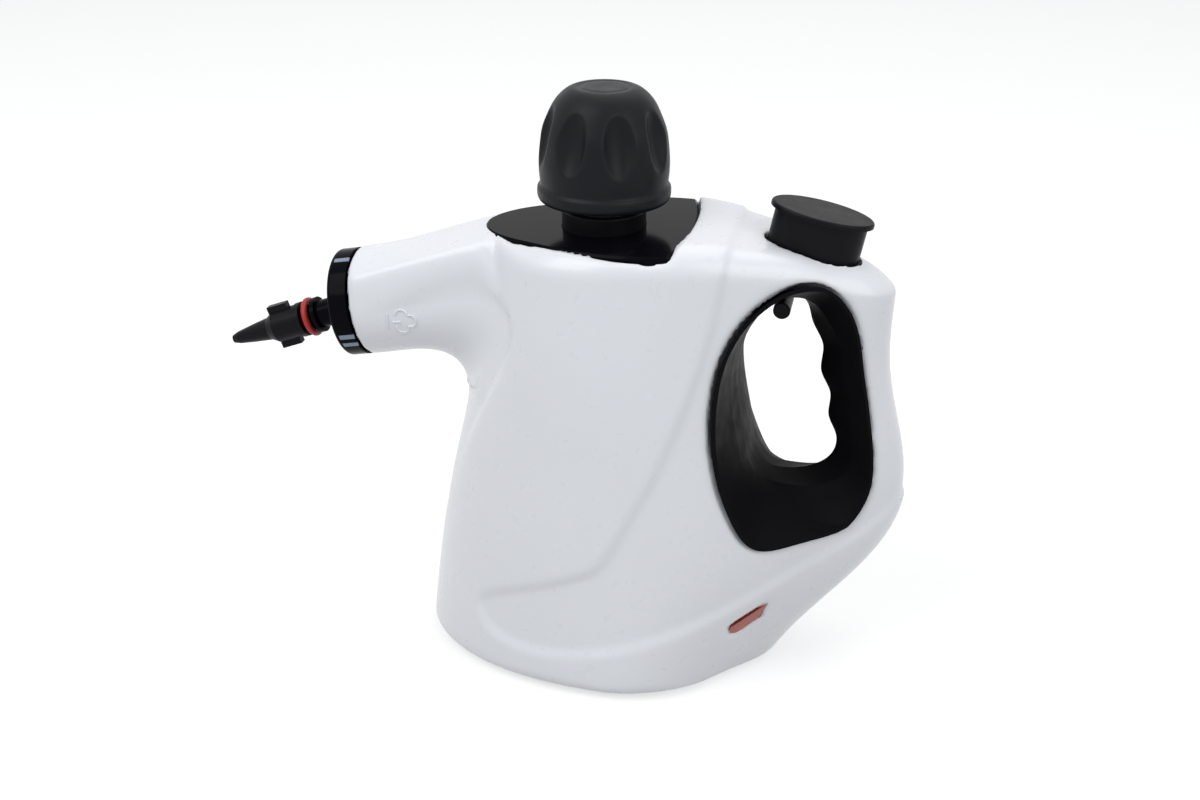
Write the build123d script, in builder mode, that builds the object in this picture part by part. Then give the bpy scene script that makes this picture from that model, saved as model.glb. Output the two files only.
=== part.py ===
"""Handheld pressurised steam cleaner: moulded body, boiler, safety cap, steam trigger and jet nozzle."""
from math import cos, radians, sin, sqrt
import os

from build123d import *

os.makedirs("parts", exist_ok=True)

# Frame: nozzle points to -X, the side with the lamp is -Y, +Z is up, the cap stands on the Z axis.
# General fits
wall = 3.0
clearance = 0.3
running_fit = 0.05
overrun = 40.0

# Ground, feet and the heights that the stack of inner parts stands on
foot_height = 2.0
foot_radius = 7.0
foot_pocket = 1.2
foot_front = -60.0
foot_rear = 58.0
foot_side = 26.0
floor_top = foot_height + wall

# Main body: plan sections, from the underside to above the crown
level_heights = (foot_height, 24.0, 45.0, 66.0, 88.0, 125.0, 165.0, 214.0)
level_noses = (82.5, 80.3, 77.5, 74.3, 70.5, 63.0, 55.0, 45.0)
level_widths = (67.5, 66.0, 64.2, 62.2, 60.0, 56.5, 52.5, 48.5)
level_tails = (85.0, 101.0, 119.0, 133.5, 139.8, 134.5, 129.5, 120.0)
level_tail_radii = (36.0, 32.0, 27.0, 22.0, 19.5, 19.0, 18.0, 17.0)
level_middles = (14.0, 13.5, 13.0, 12.0, 11.0, 9.0, 7.0, 5.0)
level_taper_shares = (0.9, 0.75, 0.62, 0.52, 0.45, 0.42, 0.40, 0.38)
plan_points = 28

# Crown: the curved top of the body, level over the boiler and sloping along the handle
crown_front = -60.0
crown_front_height = 202.0
crown_peak = 45.0
crown_peak_height = 208.0
crown_rear = 81.0
crown_rear_height = 203.5
handle_top_drop_share = 0.2
profile_reach = 175.0
crown_radius = 14.0
crown_low = 130.0

# Barrel: a slightly widening tube that droops towards the nozzle
barrel_tilt = 0.167
barrel_x = -112.2
barrel_z = 159.2
barrel_radius = 24.7
barrel_root_radius = 28.5
barrel_length = 89.0
barrel_bore_depth = 76.0
neck_radius = 16.0
neck_front = 37.0
neck_rear = -20.0

# Inside of the body: oval boiler chamber at three levels, as (z, centre, half length, half width)
chamber_levels = ((floor_top, -8.0, 69.5, 58.0), (186.0, -3.0, 43.0, 45.0), (195.0, -2.0, 35.0, 37.0))
rear_chamber = ((50.0, floor_top), (76.0, floor_top), (104.0, 50.0), (104.0, 60.0), (50.0, 60.0))
rear_chamber_side = 20.0
valve_chamber_front = 30.0
valve_chamber_rear = 57.0
valve_chamber_side = 26.0
valve_chamber_floor = 130.0
trigger_chamber = ((20.0, 184.0), (103.0, 184.0), (103.0, 192.0), (81.0, 200.0), (46.0, 200.0),
                   (46.0, 195.5), (20.0, 195.5))
trigger_chamber_side = 13.5

# Handle loop: seam outline on the middle plane, and the rim where it meets the skin (x, depth, z)
loop_seam = ((84.0, 177.5), (91.0, 173.5), (93.5, 165.5), (98.8, 154.0), (98.6, 142.0),
             (103.2, 131.5), (103.0, 121.0), (107.0, 111.0), (105.5, 102.0), (97.0, 95.3),
             (86.9, 92.9), (77.0, 94.2), (71.3, 99.5), (67.5, 113.0), (64.5, 127.0),
             (62.6, 142.0), (64.3, 155.0), (69.5, 167.0), (76.3, 174.8))
loop_rim = ((89.3, 27.8, 189.5), (104.5, 21.1, 184.9), (112.5, 18.8, 176.5), (117.1, 17.6, 163.1),
            (119.4, 17.2, 150.1), (121.5, 17.2, 138.0), (123.8, 17.1, 122.9), (125.5, 18.0, 107.9),
            (124.7, 19.3, 94.6), (114.7, 24.7, 77.8), (96.0, 35.4, 69.4), (78.0, 45.2, 70.5),
            (68.2, 48.6, 84.0), (60.9, 49.4, 103.1), (57.5, 48.2, 123.8), (57.3, 46.3, 141.7),
            (60.2, 43.2, 160.5), (67.9, 38.7, 176.0), (77.5, 33.6, 185.0))
loop_depths = (0.0, 12.0, 24.0, 60.0)
loop_flare_power_share = 2.0
loop_spread_share = 0.6
loop_centre = (85.0, 134.0)
liner_thickness = 2.0

# Deck: glossy plate let into the crown round the filler neck
deck_outline = ((-53.4, 0.0), (-44.3, -18.5), (-26.0, -29.7), (-8.5, -37.8), (7.9, -42.6), (23.3, -43.5))
deck_corner = (35.0, -42.0)
deck_rear = 40.5
deck_height = 203.5
deck_rise_share = 0.034
deck_thickness = 5.0
deck_edge = 1.0

# Boiler: two flanged aluminium cups round the Z axis
boiler_bottom = 52.0
boiler_flange_bottom = 104.0
boiler_flange_thickness = 4.0
boiler_gasket_thickness = 0.8
boiler_radius = 38.0
boiler_flange_radius = 44.0
boiler_wall = 3.0
boiler_top = 153.0
boiler_round = 4.0
boiler_screw_count = 4
boiler_screw_circle = 41.0
boiler_screw_radius = 1.5
boiler_screw_head = 2.6
boiler_screw_head_height = 2.0
seat_radius = 29.0
seat_wall = 4.0
screw_start = 45.0
element_radius = 21.0
element_tube = 3.5
thermostat_radius = 8.0
thermostat_height = 8.0
thermostat_x = -27.0
fuse_radius = 2.2
fuse_length = 22.0
fuse_low = 70.0
terminal_size = (20.0, 14.0, 12.0)
terminal_x = 62.0

# Filler neck and the ring that closes the gap between neck and deck
filler_radius = 13.0
filler_bore = 10.0
filler_top = 222.0
filler_flange = 18.0
filler_flange_thickness = 2.5
ring_radius = 18.5
ring_top = 212.0
ring_bottom = 191.7
ring_flange = 22.0
ring_round = 1.5
ring_flange_thickness = 3.0

# Safety cap: outer cover profile from the lower rim to the edge of the flat top, as (radius, z)
cap_profile = ((28.2, 215.6), (29.3, 217.5), (29.3, 221.5), (27.8, 222.6), (28.5, 233.0), (27.9, 240.8),
               (26.8, 247.4), (25.0, 252.0), (22.6, 257.0), (19.6, 261.0), (16.6, 263.5), (14.6, 264.5))
cap_inner = ((26.0, 215.6), (26.0, 219.0), (21.4, 221.0), (21.4, 244.0), (20.2, 250.0), (20.0, 254.0),
             (17.5, 259.0), (15.0, 262.2))
cap_ring_radius = 10.9
cap_ring_width = 1.4
cap_top = 264.9
cap_ring_height = 0.6
flute_count = 8
flute_phase = 24.5
flute_axis_radius = 31.9
flute_middle = 245.5
flute_width = 8.75
flute_height = 21.0
flute_tilt = 14.0
drive_inner = 11.0
drive_outer = 13.0
drive_bottom = 236.0
plug_bottom = 206.0
plug_flange_radius = 16.0
plug_flange_thickness = 3.2
plug_hub_radius = 10.8
plug_hub_top = 244.0
gasket_thickness = 2.0
gasket_radius = 13.8
spring_inner = 13.3
spring_outer = 14.7
relief_radius = 3.0
relief_top = 236.0
relief_bottom = 212.0

# Nozzle collar and its three inlaid marks
collar_length = 9.35
collar_face = 2.5
collar_wall = 2.0
collar_tail = 6.0
collar_round = 2.0
mark_angles = (-22.0, -34.0, 69.0)
mark_length = 7.0
mark_width = 2.6
mark_depth = 0.8

# Jet nozzle assembly on its own drooping axis; distances along it are measured from its origin
nozzle_x = -121.4
nozzle_z = 155.35
nozzle_tilt = 20.0
spigot_radius = 6.5
spigot_bore = 3.0
spigot_rear = -30.0
spigot_front = 13.5
spigot_flange_radius = 8.4
spigot_flange_end = 15.5
spigot_seat_radius = 6.2
spigot_seat_end = 21.5
nipple_radius = 4.2
nipple_end = 33.0
o_ring_section = 1.5
jet_start = 22.0
jet_ring_end = 24.5
jet_ring_radius = 8.2
jet_body_radius = 7.7
jet_body_end = 37.0
jet_profile = ((5.4, 41.0), (4.2, 50.0), (2.9, 58.0), (1.9, 61.0))
jet_bore = 1.2
jet_socket_end = 34.0
lug_start = 28.0
lug_end = 38.0
lug_width = 4.0
lug_reach = 10.4
pipe_nut_radius = 5.5
pipe_nut_length = 8.0

# Steam pipe: a thin tube bent round the filler neck, from the valve to the spigot
pipe_radius = 2.5
pipe_port = 10.0
pipe_height = 165.0
pipe_turn = 18.0
pipe_wall = 0.8
pipe_run = ((22.0, 27.0, 167.0), (-16.0, 26.0, 169.0), (-55.0, 8.0, 172.0))
pipe_lead = 14.0
pipe_bends = (7.0, 12.0, 14.0, 14.0, 12.0)

# Steam button: an elliptical key on a tilted plane over the handle
button_x = 95.6
button_z = 216.0
button_tilt = 0.198
button_length = 22.6
button_width = 14.8
button_lip = 2.2
button_skirt_length = 20.3
button_skirt_width = 12.9
button_depth = 22.0
button_room = 5.5
button_wall = 2.0
button_round = 1.2
post_radius = 3.0
post_end = 24.5

# Steam valve under the trigger lever
valve_x = 47.5
valve_radius = 8.0
valve_bottom = 140.0
valve_top = 170.0
valve_port_radius = 3.5
valve_port_height = 146.0
stem_radius = 2.0
stem_bottom = 150.0
stem_head_radius = 4.0
stem_head = 2.0
stem_travel = 1.9
valve_spring_inner = 3.2
valve_spring_outer = 4.0
lever_bottom = 187.0
lever_thickness = 4.0
lever_width = 8.0
lever_front = 20.0
lever_pivot = 24.0
lever_rear = 93.0
lever_pin_radius = 1.5
bracket_wall = 3.0
bracket_length = 7.0
bracket_foot = 2.0

# Lock slider under the roof of the handle loop
lock_x = 80.5
lock_z = 172.0
lock_radius = 3.8
lock_length = 18.0
lock_travel = 3.0
lock_neck = 3.0
lock_head_low = 181.0
lock_head_high = 183.2
lock_head_length = 7.0
lock_head_width = 8.0

# Base plate, screws, lens and cord gland
plate_x = -8.0
plate_length = 42.0
plate_width = 46.0
plate_rim = 4.0
plate_rim_thickness = 2.0
base_screw_count = 4
base_screw_radius = 1.4
base_screw_head = 3.2
base_screw_head_height = 1.6
base_screw_length = 12.0
shell_screws = ((-62.0, 60.0), (-50.0, 132.0), (72.0, 28.0), (125.0, 140.0), (118.0, 180.0))
shell_boss_radius = 6.0
shell_screw_radius = 1.5
shell_screw_head = 2.6
shell_screw_head_height = 2.5
shell_screw_reach = 8.0
shell_screw_seat = 10.0
lens_x = 78.0
lens_z = 36.5
lens_slope = 32.0
lens_length = 24.5
lens_height = 5.0
lens_back = 38.0
lamp_radius = 2.5
lamp_length = 12.0
gland_x = 108.74
gland_z = 37.11
gland_slope = 40.5
gland_flange_radius = 9.0
gland_flange = 1.6
gland_radius = 6.0
gland_bore = 3.75
gland_length = 14.0

# Values that follow from the sizes above
barrel_plane = Plane(origin=(barrel_x, 0, barrel_z), x_dir=(0, 1, 0),
                     z_dir=(cos(barrel_tilt), 0, sin(barrel_tilt)))
nozzle_turn = radians(nozzle_tilt)
nozzle_plane = Plane(origin=(nozzle_x, 0, nozzle_z), x_dir=(0, 1, 0),
                     z_dir=(-cos(nozzle_turn), 0, -sin(nozzle_turn)))
nozzle_section = Plane(origin=(nozzle_x, 0, nozzle_z), x_dir=(0, 1, 0),
                       z_dir=(-sin(nozzle_turn), 0, cos(nozzle_turn)))
nozzle_axis = Axis(nozzle_plane.origin, nozzle_plane.z_dir)
button_plane = Plane(origin=(button_x, 0, button_z), x_dir=(cos(button_tilt), 0, -sin(button_tilt)),
                     z_dir=(sin(button_tilt), 0, cos(button_tilt)))
gland_plane = Plane(origin=(gland_x, 0, gland_z), x_dir=(0, 1, 0),
                    z_dir=(cos(radians(gland_slope)), 0, -sin(radians(gland_slope))))
lamp_plane = Plane(origin=(lens_x, 0, lens_z), x_dir=(1, 0, 0), z_dir=(0, -1, 0))
deck_plane = Plane(origin=(0, 0, deck_height), x_dir=(1, 0, deck_rise_share),
                   z_dir=(-deck_rise_share, 0, 1))
boiler_split = boiler_flange_bottom + boiler_flange_thickness
boiler_upper_bottom = boiler_split + boiler_gasket_thickness
boiler_flange_top = boiler_upper_bottom + boiler_flange_thickness
boiler_screw_length = boiler_flange_top - boiler_flange_bottom
seat_bottom = floor_top + plate_rim_thickness
seat_middle = seat_radius - seat_wall / 2
plug_seat = filler_top + gasket_thickness
plug_flange_top = plug_seat + plug_flange_thickness
cap_roof = cap_inner[-1][1]
lever_top = lever_bottom + lever_thickness
pin_height = lever_bottom + lever_thickness / 2
stem_top = lever_bottom - clearance
spigot_tail = nozzle_plane.from_local_coords((0, 0, spigot_rear))
pipe_approach = nozzle_plane.from_local_coords((0, 0, spigot_rear - pipe_lead))
pipe_points = ((valve_x, pipe_port, pipe_height), (valve_x, pipe_turn, pipe_height), *pipe_run,
               pipe_approach, spigot_tail)
foot_spots = [(x, y) for x in (foot_front, foot_rear) for y in (-foot_side, foot_side)]
screw_planes = {spot: Plane(origin=(spot[0], shell_screw_seat, spot[1]), x_dir=(1, 0, 0), z_dir=(0, -1, 0))
                for spot in shell_screws}


def plan_section(level):
    """Closed outline of the body at one level: half ellipse in front, taper to a round tail."""
    middle = level_middles[level]
    front = level_noses[level] + middle
    width = level_widths[level]
    radius = level_tail_radii[level]
    taper = level_taper_shares[level]
    tail_width = radius / sqrt(1 + taper**2)
    tail = level_tails[level] - radius + taper * tail_width
    with BuildLine() as outline:
        EllipticalCenterArc((middle, 0), front, width, 180, arc_size=90)
        Spline((middle, -width), (tail, -tail_width), tangents=((1, 0), (1, taper)))
        ThreePointArc((tail, -tail_width), (level_tails[level], 0), (tail, tail_width))
        Spline((tail, tail_width), (middle, width), tangents=((-1, taper), (-1, 0)))
        EllipticalCenterArc((middle, 0), front, width, 90, arc_size=90)
    path = outline.wire()
    points = [path.position_at(i / plan_points) for i in range(plan_points)]
    with BuildSketch(Plane.XY.offset(level_heights[level])) as section:
        with BuildLine():
            Spline(*[(point.X, point.Y) for point in points], periodic=True)
        make_face()
    return section.sketch


def edges_between(body, low, high, choice=Select.ALL):
    """Curved edges that lie wholly inside the box from low to high, given as (x, z)."""
    return [edge for edge in body.edges(choice)
            if edge.geom_type != GeomType.LINE
            and edge.bounding_box().min.X > low[0] and edge.bounding_box().max.X < high[0]
            and edge.bounding_box().min.Z > low[1] and edge.bounding_box().max.Z < high[1]]


def loop_section(depth, growth):
    """Outline of the handle loop at a distance from the middle plane, grown by a thickness."""
    points = []
    for (seam_x, seam_z), (rim_x, rim_depth, rim_z) in zip(loop_seam, loop_rim):
        reach = abs(depth) / rim_depth
        share = min(reach, 1)**loop_flare_power_share + loop_spread_share * max(reach - 1, 0)
        x = seam_x + share * (rim_x - seam_x)
        z = seam_z + share * (rim_z - seam_z)
        away = sqrt((x - loop_centre[0])**2 + (z - loop_centre[1])**2)
        points.append((x + growth * (x - loop_centre[0]) / away, z + growth * (z - loop_centre[1]) / away))
    with BuildSketch(Plane.XZ.offset(depth)) as section:
        with BuildLine():
            Spline(*points, periodic=True)
        make_face()
    return section.sketch


def loop_solid(growth):
    """The flared hole of the handle, through the whole body."""
    depths = [-depth for depth in reversed(loop_depths[1:])] + list(loop_depths)
    sections = [loop_section(depth, growth) for depth in depths]
    with BuildPart() as hole:
        for section in sections:
            add(section)
        loft(ruled=True)
    return hole.part


def deck_solid(gap, low, high):
    """Upright prism of the deck outline, grown by a gap, between two depths below the deck's top."""
    side = [(x * (1 + gap / sqrt(x**2 + y**2)), y * (1 + gap / sqrt(x**2 + y**2)))
            for x, y in (*deck_outline, deck_corner)]
    far = [(x, -y) for x, y in side[1:]]
    with BuildPart() as prism:
        with BuildSketch(deck_plane.offset(-low)):
            with BuildLine():
                Spline(*reversed(side), *far)
                ThreePointArc(side[-1], (deck_rear + gap, 0), far[-1])
            make_face()
        extrude(amount=low - high)
    return prism.part


def tube(plane, outer, inner, low, high):
    """Round tube, or a rod when its inner radius is zero, between two distances along a plane's axis."""
    with BuildPart() as body:
        with BuildSketch(plane.offset(low)):
            Circle(outer)
            if inner > 0:
                Circle(inner, mode=Mode.SUBTRACT)
        extrude(amount=high - low)
    return body.part


def screw(plane, radius, length, head_radius, head_height):
    """Plain machine screw: head seated on the plane, shank along its axis."""
    with BuildPart() as body:
        with BuildSketch(plane.offset(-head_height)):
            Circle(head_radius)
        extrude(amount=head_height)
        with BuildSketch(plane):
            Circle(radius)
        extrude(amount=length)
        with BuildSketch(plane.offset(-head_height)):
            Rectangle(head_radius, head_height / 2)
            Rectangle(head_height / 2, head_radius)
        extrude(amount=head_height / 2, mode=Mode.SUBTRACT)
    return body.part


# Body blank
with BuildPart() as barrel:
    with BuildSketch(barrel_plane):
        Circle(barrel_radius)
    with BuildSketch(barrel_plane.offset(barrel_length)):
        Circle(barrel_root_radius)
    loft()

nose_line = (crown_front, crown_front_height)
crown_line = (crown_rear, crown_rear_height)
with BuildPart() as blank:
    for level in range(len(level_heights)):
        add(plan_section(level))
    loft()
    with BuildSketch(Plane.XZ.offset(profile_reach)):
        with BuildLine():
            Polyline(nose_line, (-profile_reach, crown_front_height), (-profile_reach, foot_height),
                     (profile_reach, foot_height),
                     (profile_reach, crown_rear_height - handle_top_drop_share * (profile_reach - crown_rear)),
                     crown_line)
            Spline(crown_line, (crown_peak, crown_peak_height), nose_line,
                   tangents=((-1, handle_top_drop_share), (-1, 0)))
        make_face()
    extrude(amount=-2 * profile_reach, mode=Mode.INTERSECT)
    fillet(edges_between(blank, (-profile_reach, crown_low), (profile_reach, profile_reach * 2)), crown_radius)
    add(barrel)
    fillet(edges_between(blank, (barrel_x + neck_front, 0), (neck_rear, profile_reach * 2), Select.NEW), neck_radius)

# Hollow of the body, with every boss and pocket already in it
with BuildPart() as hollow:
    for z, centre, length, width in chamber_levels:
        with BuildSketch(Plane.XY.offset(z)):
            with Locations((centre, 0)):
                Ellipse(length, width)
    loft(ruled=True)
    with BuildSketch(Plane.XZ.offset(-rear_chamber_side)):
        with BuildLine():
            Polyline(*rear_chamber, close=True)
        make_face()
    extrude(amount=2 * rear_chamber_side)
    with BuildSketch(Plane.XZ.offset(-trigger_chamber_side)):
        with BuildLine():
            Polyline(*trigger_chamber, close=True)
        make_face()
    extrude(amount=2 * trigger_chamber_side)
    with BuildSketch(Plane.XY.offset(valve_chamber_floor)):
        with Locations(((valve_chamber_front + valve_chamber_rear) / 2, 0)):
            Rectangle(valve_chamber_rear - valve_chamber_front, 2 * valve_chamber_side)
    extrude(amount=trigger_chamber[0][1] + clearance - valve_chamber_floor)
    with BuildSketch(barrel_plane.offset(-overrun)):
        Circle(barrel_radius - wall)
    extrude(amount=overrun + barrel_bore_depth)

with BuildPart() as bosses:
    for x, z in shell_screws:
        with BuildSketch(Plane.XZ.offset(-profile_reach)):
            with Locations((x, z)):
                Circle(shell_boss_radius)
        extrude(amount=2 * profile_reach)

with BuildPart() as lock_slot:
    with BuildSketch(Plane.XY.offset(lock_head_low - clearance)):
        with Locations((lock_x, 0)):
            Rectangle(lock_head_length + 2 * clearance, lock_head_width + 2 * lock_travel + 2 * clearance)
    extrude(amount=trigger_chamber[0][1] - lock_head_low + 2 * clearance)
    with BuildSketch(Plane.XY.offset(lock_z)):
        with Locations((lock_x, 0)):
            Rectangle(lock_neck + 2 * clearance, lock_neck + 2 * lock_travel + 2 * clearance)
    extrude(amount=lock_head_low - lock_z)

with BuildPart() as lens_slot:
    with BuildSketch(lamp_plane.offset(lens_back)):
        SlotOverall(lens_length, lens_height, rotation=lens_slope)
    extrude(amount=overrun)

with BuildPart() as pockets:
    add(hollow)
    add(bosses, mode=Mode.SUBTRACT)
    add(deck_solid(clearance, deck_thickness, -overrun))
    add(tube(Plane.XY, ring_radius + clearance, 0, chamber_levels[-1][0] - wall, deck_height))
    with BuildSketch(button_plane.offset(-button_depth - button_room)):
        Ellipse(button_skirt_length + clearance, button_skirt_width + clearance)
    extrude(amount=button_depth + button_room + overrun)
    with BuildSketch(Plane.XY):
        with Locations((plate_x, 0)):
            Ellipse(plate_length + clearance, plate_width + clearance)
    extrude(amount=floor_top + clearance)
    for x, y in foot_spots:
        add(tube(Plane(origin=(x, y, 0)), foot_radius + running_fit, 0, 0, foot_height + foot_pocket))
    for plane in screw_planes.values():
        add(tube(plane, shell_screw_head + clearance, 0, -overrun - shell_screw_head, 0))
        add(tube(plane, shell_screw_radius + running_fit, 0, -overrun, shell_screw_seat + shell_screw_reach))
    add(lens_slot)
    add(tube(lamp_plane, lamp_radius + running_fit, 0, rear_chamber_side - wall, lens_back))
    add(tube(gland_plane, gland_flange_radius + clearance, 0, 0, overrun))
    add(tube(gland_plane, gland_radius + clearance, 0, -gland_length - wall, 0))
    add(lock_slot)

# Outer shells, one on each side of the middle plane
with BuildPart() as casing:
    add(blank)
    add(pockets.part + loop_solid(liner_thickness), mode=Mode.SUBTRACT)
with BuildPart() as left_shell:
    add(casing)
    split(bisect_by=Plane.XZ, keep=Keep.TOP)
left_shell.part.label = "left_shell"
export_step(left_shell.part, "parts/left_shell.step")
with BuildPart() as right_shell:
    add(casing)
    split(bisect_by=Plane.XZ, keep=Keep.BOTTOM)
right_shell.part.label = "right_shell"
export_step(right_shell.part, "parts/right_shell.step")

# Black lining of the finger loop, also in two halves
with BuildPart() as lining:
    add(blank)
    add(loop_solid(liner_thickness) - loop_solid(0), mode=Mode.INTERSECT)
    add(lock_slot, mode=Mode.SUBTRACT)
with BuildPart() as grip_liner_left:
    add(lining)
    split(bisect_by=Plane.XZ, keep=Keep.TOP)
grip_liner_left.part.label = "grip_liner_left"
export_step(grip_liner_left.part, "parts/grip_liner_left.step")
with BuildPart() as grip_liner_right:
    add(lining)
    split(bisect_by=Plane.XZ, keep=Keep.BOTTOM)
grip_liner_right.part.label = "grip_liner_right"
export_step(grip_liner_right.part, "parts/grip_liner_right.step")

with BuildPart() as indicator_lens:
    with BuildSketch(lamp_plane.offset(lens_back)):
        SlotOverall(lens_length - 2 * running_fit, lens_height - 2 * running_fit, rotation=lens_slope)
    extrude(amount=overrun)
    add(blank, mode=Mode.INTERSECT)
indicator_lens.part.label = "indicator_lens"
export_step(indicator_lens.part, "parts/indicator_lens.step")

# Base plate, boiler seat, feet and the screws from below
with BuildPart() as base_plate:
    with BuildSketch(Plane.XY.offset(foot_height)):
        with Locations((plate_x, 0)):
            Ellipse(plate_length, plate_width)
    extrude(amount=wall)
    with BuildSketch(Plane.XY.offset(floor_top)):
        with Locations((plate_x, 0)):
            Ellipse(plate_length + plate_rim, plate_width + plate_rim)
    extrude(amount=plate_rim_thickness)
    with PolarLocations(seat_middle, base_screw_count, screw_start):
        Cylinder(base_screw_head + clearance, 2 * (foot_height + base_screw_head_height), mode=Mode.SUBTRACT)
        Cylinder(base_screw_radius + running_fit, overrun, mode=Mode.SUBTRACT)
base_plate.part.label = "base_plate"
export_step(base_plate.part, "parts/base_plate.step")

with BuildPart() as boiler_seat:
    with BuildSketch(Plane.XY.offset(seat_bottom)):
        Circle(seat_radius)
        Circle(seat_radius - seat_wall, mode=Mode.SUBTRACT)
    extrude(amount=boiler_bottom - seat_bottom)
    with BuildSketch(Plane.XY.offset(seat_bottom)):
        with PolarLocations(seat_middle, base_screw_count, screw_start):
            Circle(base_screw_radius + running_fit)
    extrude(amount=base_screw_length, mode=Mode.SUBTRACT)
boiler_seat.part.label = "boiler_seat"
export_step(boiler_seat.part, "parts/boiler_seat.step")

screw_turns = PolarLocations(seat_middle, base_screw_count, screw_start).locations
for number, spot in enumerate(screw_turns, 1):
    plane = Plane(origin=(spot.position.X, spot.position.Y, foot_height + base_screw_head_height),
                  x_dir=(1, 0, 0), z_dir=(0, 0, 1))
    base_screw = screw(plane, base_screw_radius, base_screw_length, base_screw_head, base_screw_head_height)
    base_screw.label = f"base_screw_{number}"
    export_step(base_screw, f"parts/{base_screw.label}.step")

for number, (x, y) in enumerate(foot_spots, 1):
    with BuildPart() as rubber_foot:
        with BuildSketch():
            with Locations((x, y)):
                Circle(foot_radius)
        extrude(amount=foot_height + foot_pocket)
        chamfer(rubber_foot.edges().sort_by(Axis.Z)[0], foot_pocket / 2)
    rubber_foot.part.label = f"rubber_foot_{number}"
    export_step(rubber_foot.part, f"parts/{rubber_foot.part.label}.step")

# Boiler: lower cup, gasket, upper cup, flange screws and what is fitted to them
with BuildPart() as boiler_lower:
    with BuildSketch(Plane.XY.offset(boiler_bottom)):
        Circle(boiler_radius)
    extrude(amount=boiler_split - boiler_bottom)
    fillet(boiler_lower.edges().sort_by(Axis.Z)[0], boiler_round)
    with BuildSketch(Plane.XY.offset(boiler_flange_bottom)):
        Circle(boiler_flange_radius)
    extrude(amount=boiler_flange_thickness)
    with BuildSketch(Plane.XY.offset(boiler_bottom + boiler_wall)):
        Circle(boiler_radius - boiler_wall)
    extrude(amount=boiler_split - boiler_bottom - boiler_wall, mode=Mode.SUBTRACT)
    with BuildSketch(Plane.XY.offset(boiler_flange_bottom)):
        with PolarLocations(boiler_screw_circle, boiler_screw_count, screw_start):
            Circle(boiler_screw_radius + running_fit)
    extrude(amount=boiler_flange_thickness, mode=Mode.SUBTRACT)
boiler_lower.part.label = "boiler_lower"
export_step(boiler_lower.part, "parts/boiler_lower.step")

with BuildPart() as boiler_gasket:
    with BuildSketch(Plane.XY.offset(boiler_split)):
        Circle(boiler_flange_radius)
        Circle(boiler_radius - boiler_wall, mode=Mode.SUBTRACT)
        with PolarLocations(boiler_screw_circle, boiler_screw_count, screw_start):
            Circle(boiler_screw_radius + running_fit, mode=Mode.SUBTRACT)
    extrude(amount=boiler_gasket_thickness)
boiler_gasket.part.label = "boiler_gasket"
export_step(boiler_gasket.part, "parts/boiler_gasket.step")

with BuildPart() as boiler_upper:
    with BuildSketch(Plane.XY.offset(boiler_upper_bottom)):
        Circle(boiler_radius)
    extrude(amount=boiler_top - boiler_upper_bottom)
    fillet(boiler_upper.edges().sort_by(Axis.Z)[-1], boiler_round)
    with BuildSketch(Plane.XY.offset(boiler_upper_bottom)):
        Circle(boiler_flange_radius)
    extrude(amount=boiler_flange_thickness)
    with BuildSketch(Plane.XY.offset(boiler_upper_bottom)):
        Circle(boiler_radius - boiler_wall)
    extrude(amount=boiler_top - boiler_wall - boiler_upper_bottom, mode=Mode.SUBTRACT)
    with BuildSketch(Plane.XY.offset(boiler_upper_bottom)):
        with PolarLocations(boiler_screw_circle, boiler_screw_count, screw_start):
            Circle(boiler_screw_radius + running_fit)
    extrude(amount=boiler_flange_thickness, mode=Mode.SUBTRACT)
    with BuildSketch(Plane.XY.offset(boiler_upper_bottom + boiler_wall)):
        Circle(filler_bore)
    extrude(amount=boiler_top - boiler_upper_bottom, mode=Mode.SUBTRACT)
    with BuildSketch(Plane.YZ):
        with Locations((0, valve_port_height)):
            Circle(valve_port_radius + running_fit)
    extrude(amount=boiler_radius, mode=Mode.SUBTRACT)
boiler_upper.part.label = "boiler_upper"
export_step(boiler_upper.part, "parts/boiler_upper.step")

screw_turns = PolarLocations(boiler_screw_circle, boiler_screw_count, screw_start).locations
for number, spot in enumerate(screw_turns, 1):
    plane = Plane(origin=(spot.position.X, spot.position.Y, boiler_flange_top), x_dir=(1, 0, 0), z_dir=(0, 0, -1))
    boiler_screw = screw(plane, boiler_screw_radius, boiler_screw_length, boiler_screw_head,
                         boiler_screw_head_height)
    boiler_screw.label = f"boiler_screw_{number}"
    export_step(boiler_screw, f"parts/{boiler_screw.label}.step")

with BuildPart() as heating_element:
    with BuildSketch(Plane.XZ):
        with Locations((element_radius, boiler_bottom - element_tube)):
            Circle(element_tube)
    revolve(axis=Axis.Z)
heating_element.part.label = "heating_element"
export_step(heating_element.part, "parts/heating_element.step")

with BuildPart() as thermostat:
    with BuildSketch(Plane.XY.offset(boiler_top)):
        with Locations((thermostat_x, 0)):
            Circle(thermostat_radius)
    extrude(amount=thermostat_height)
    fillet(thermostat.edges().sort_by(Axis.Z)[-1], thermostat_radius / 8)
thermostat.part.label = "thermostat"
export_step(thermostat.part, "parts/thermostat.step")

with BuildPart() as thermal_fuse:
    with BuildSketch(Plane.XY.offset(fuse_low)):
        with Locations((-boiler_radius - fuse_radius, 0)):
            Circle(fuse_radius)
    extrude(amount=fuse_length)
thermal_fuse.part.label = "thermal_fuse"
export_step(thermal_fuse.part, "parts/thermal_fuse.step")

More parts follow.
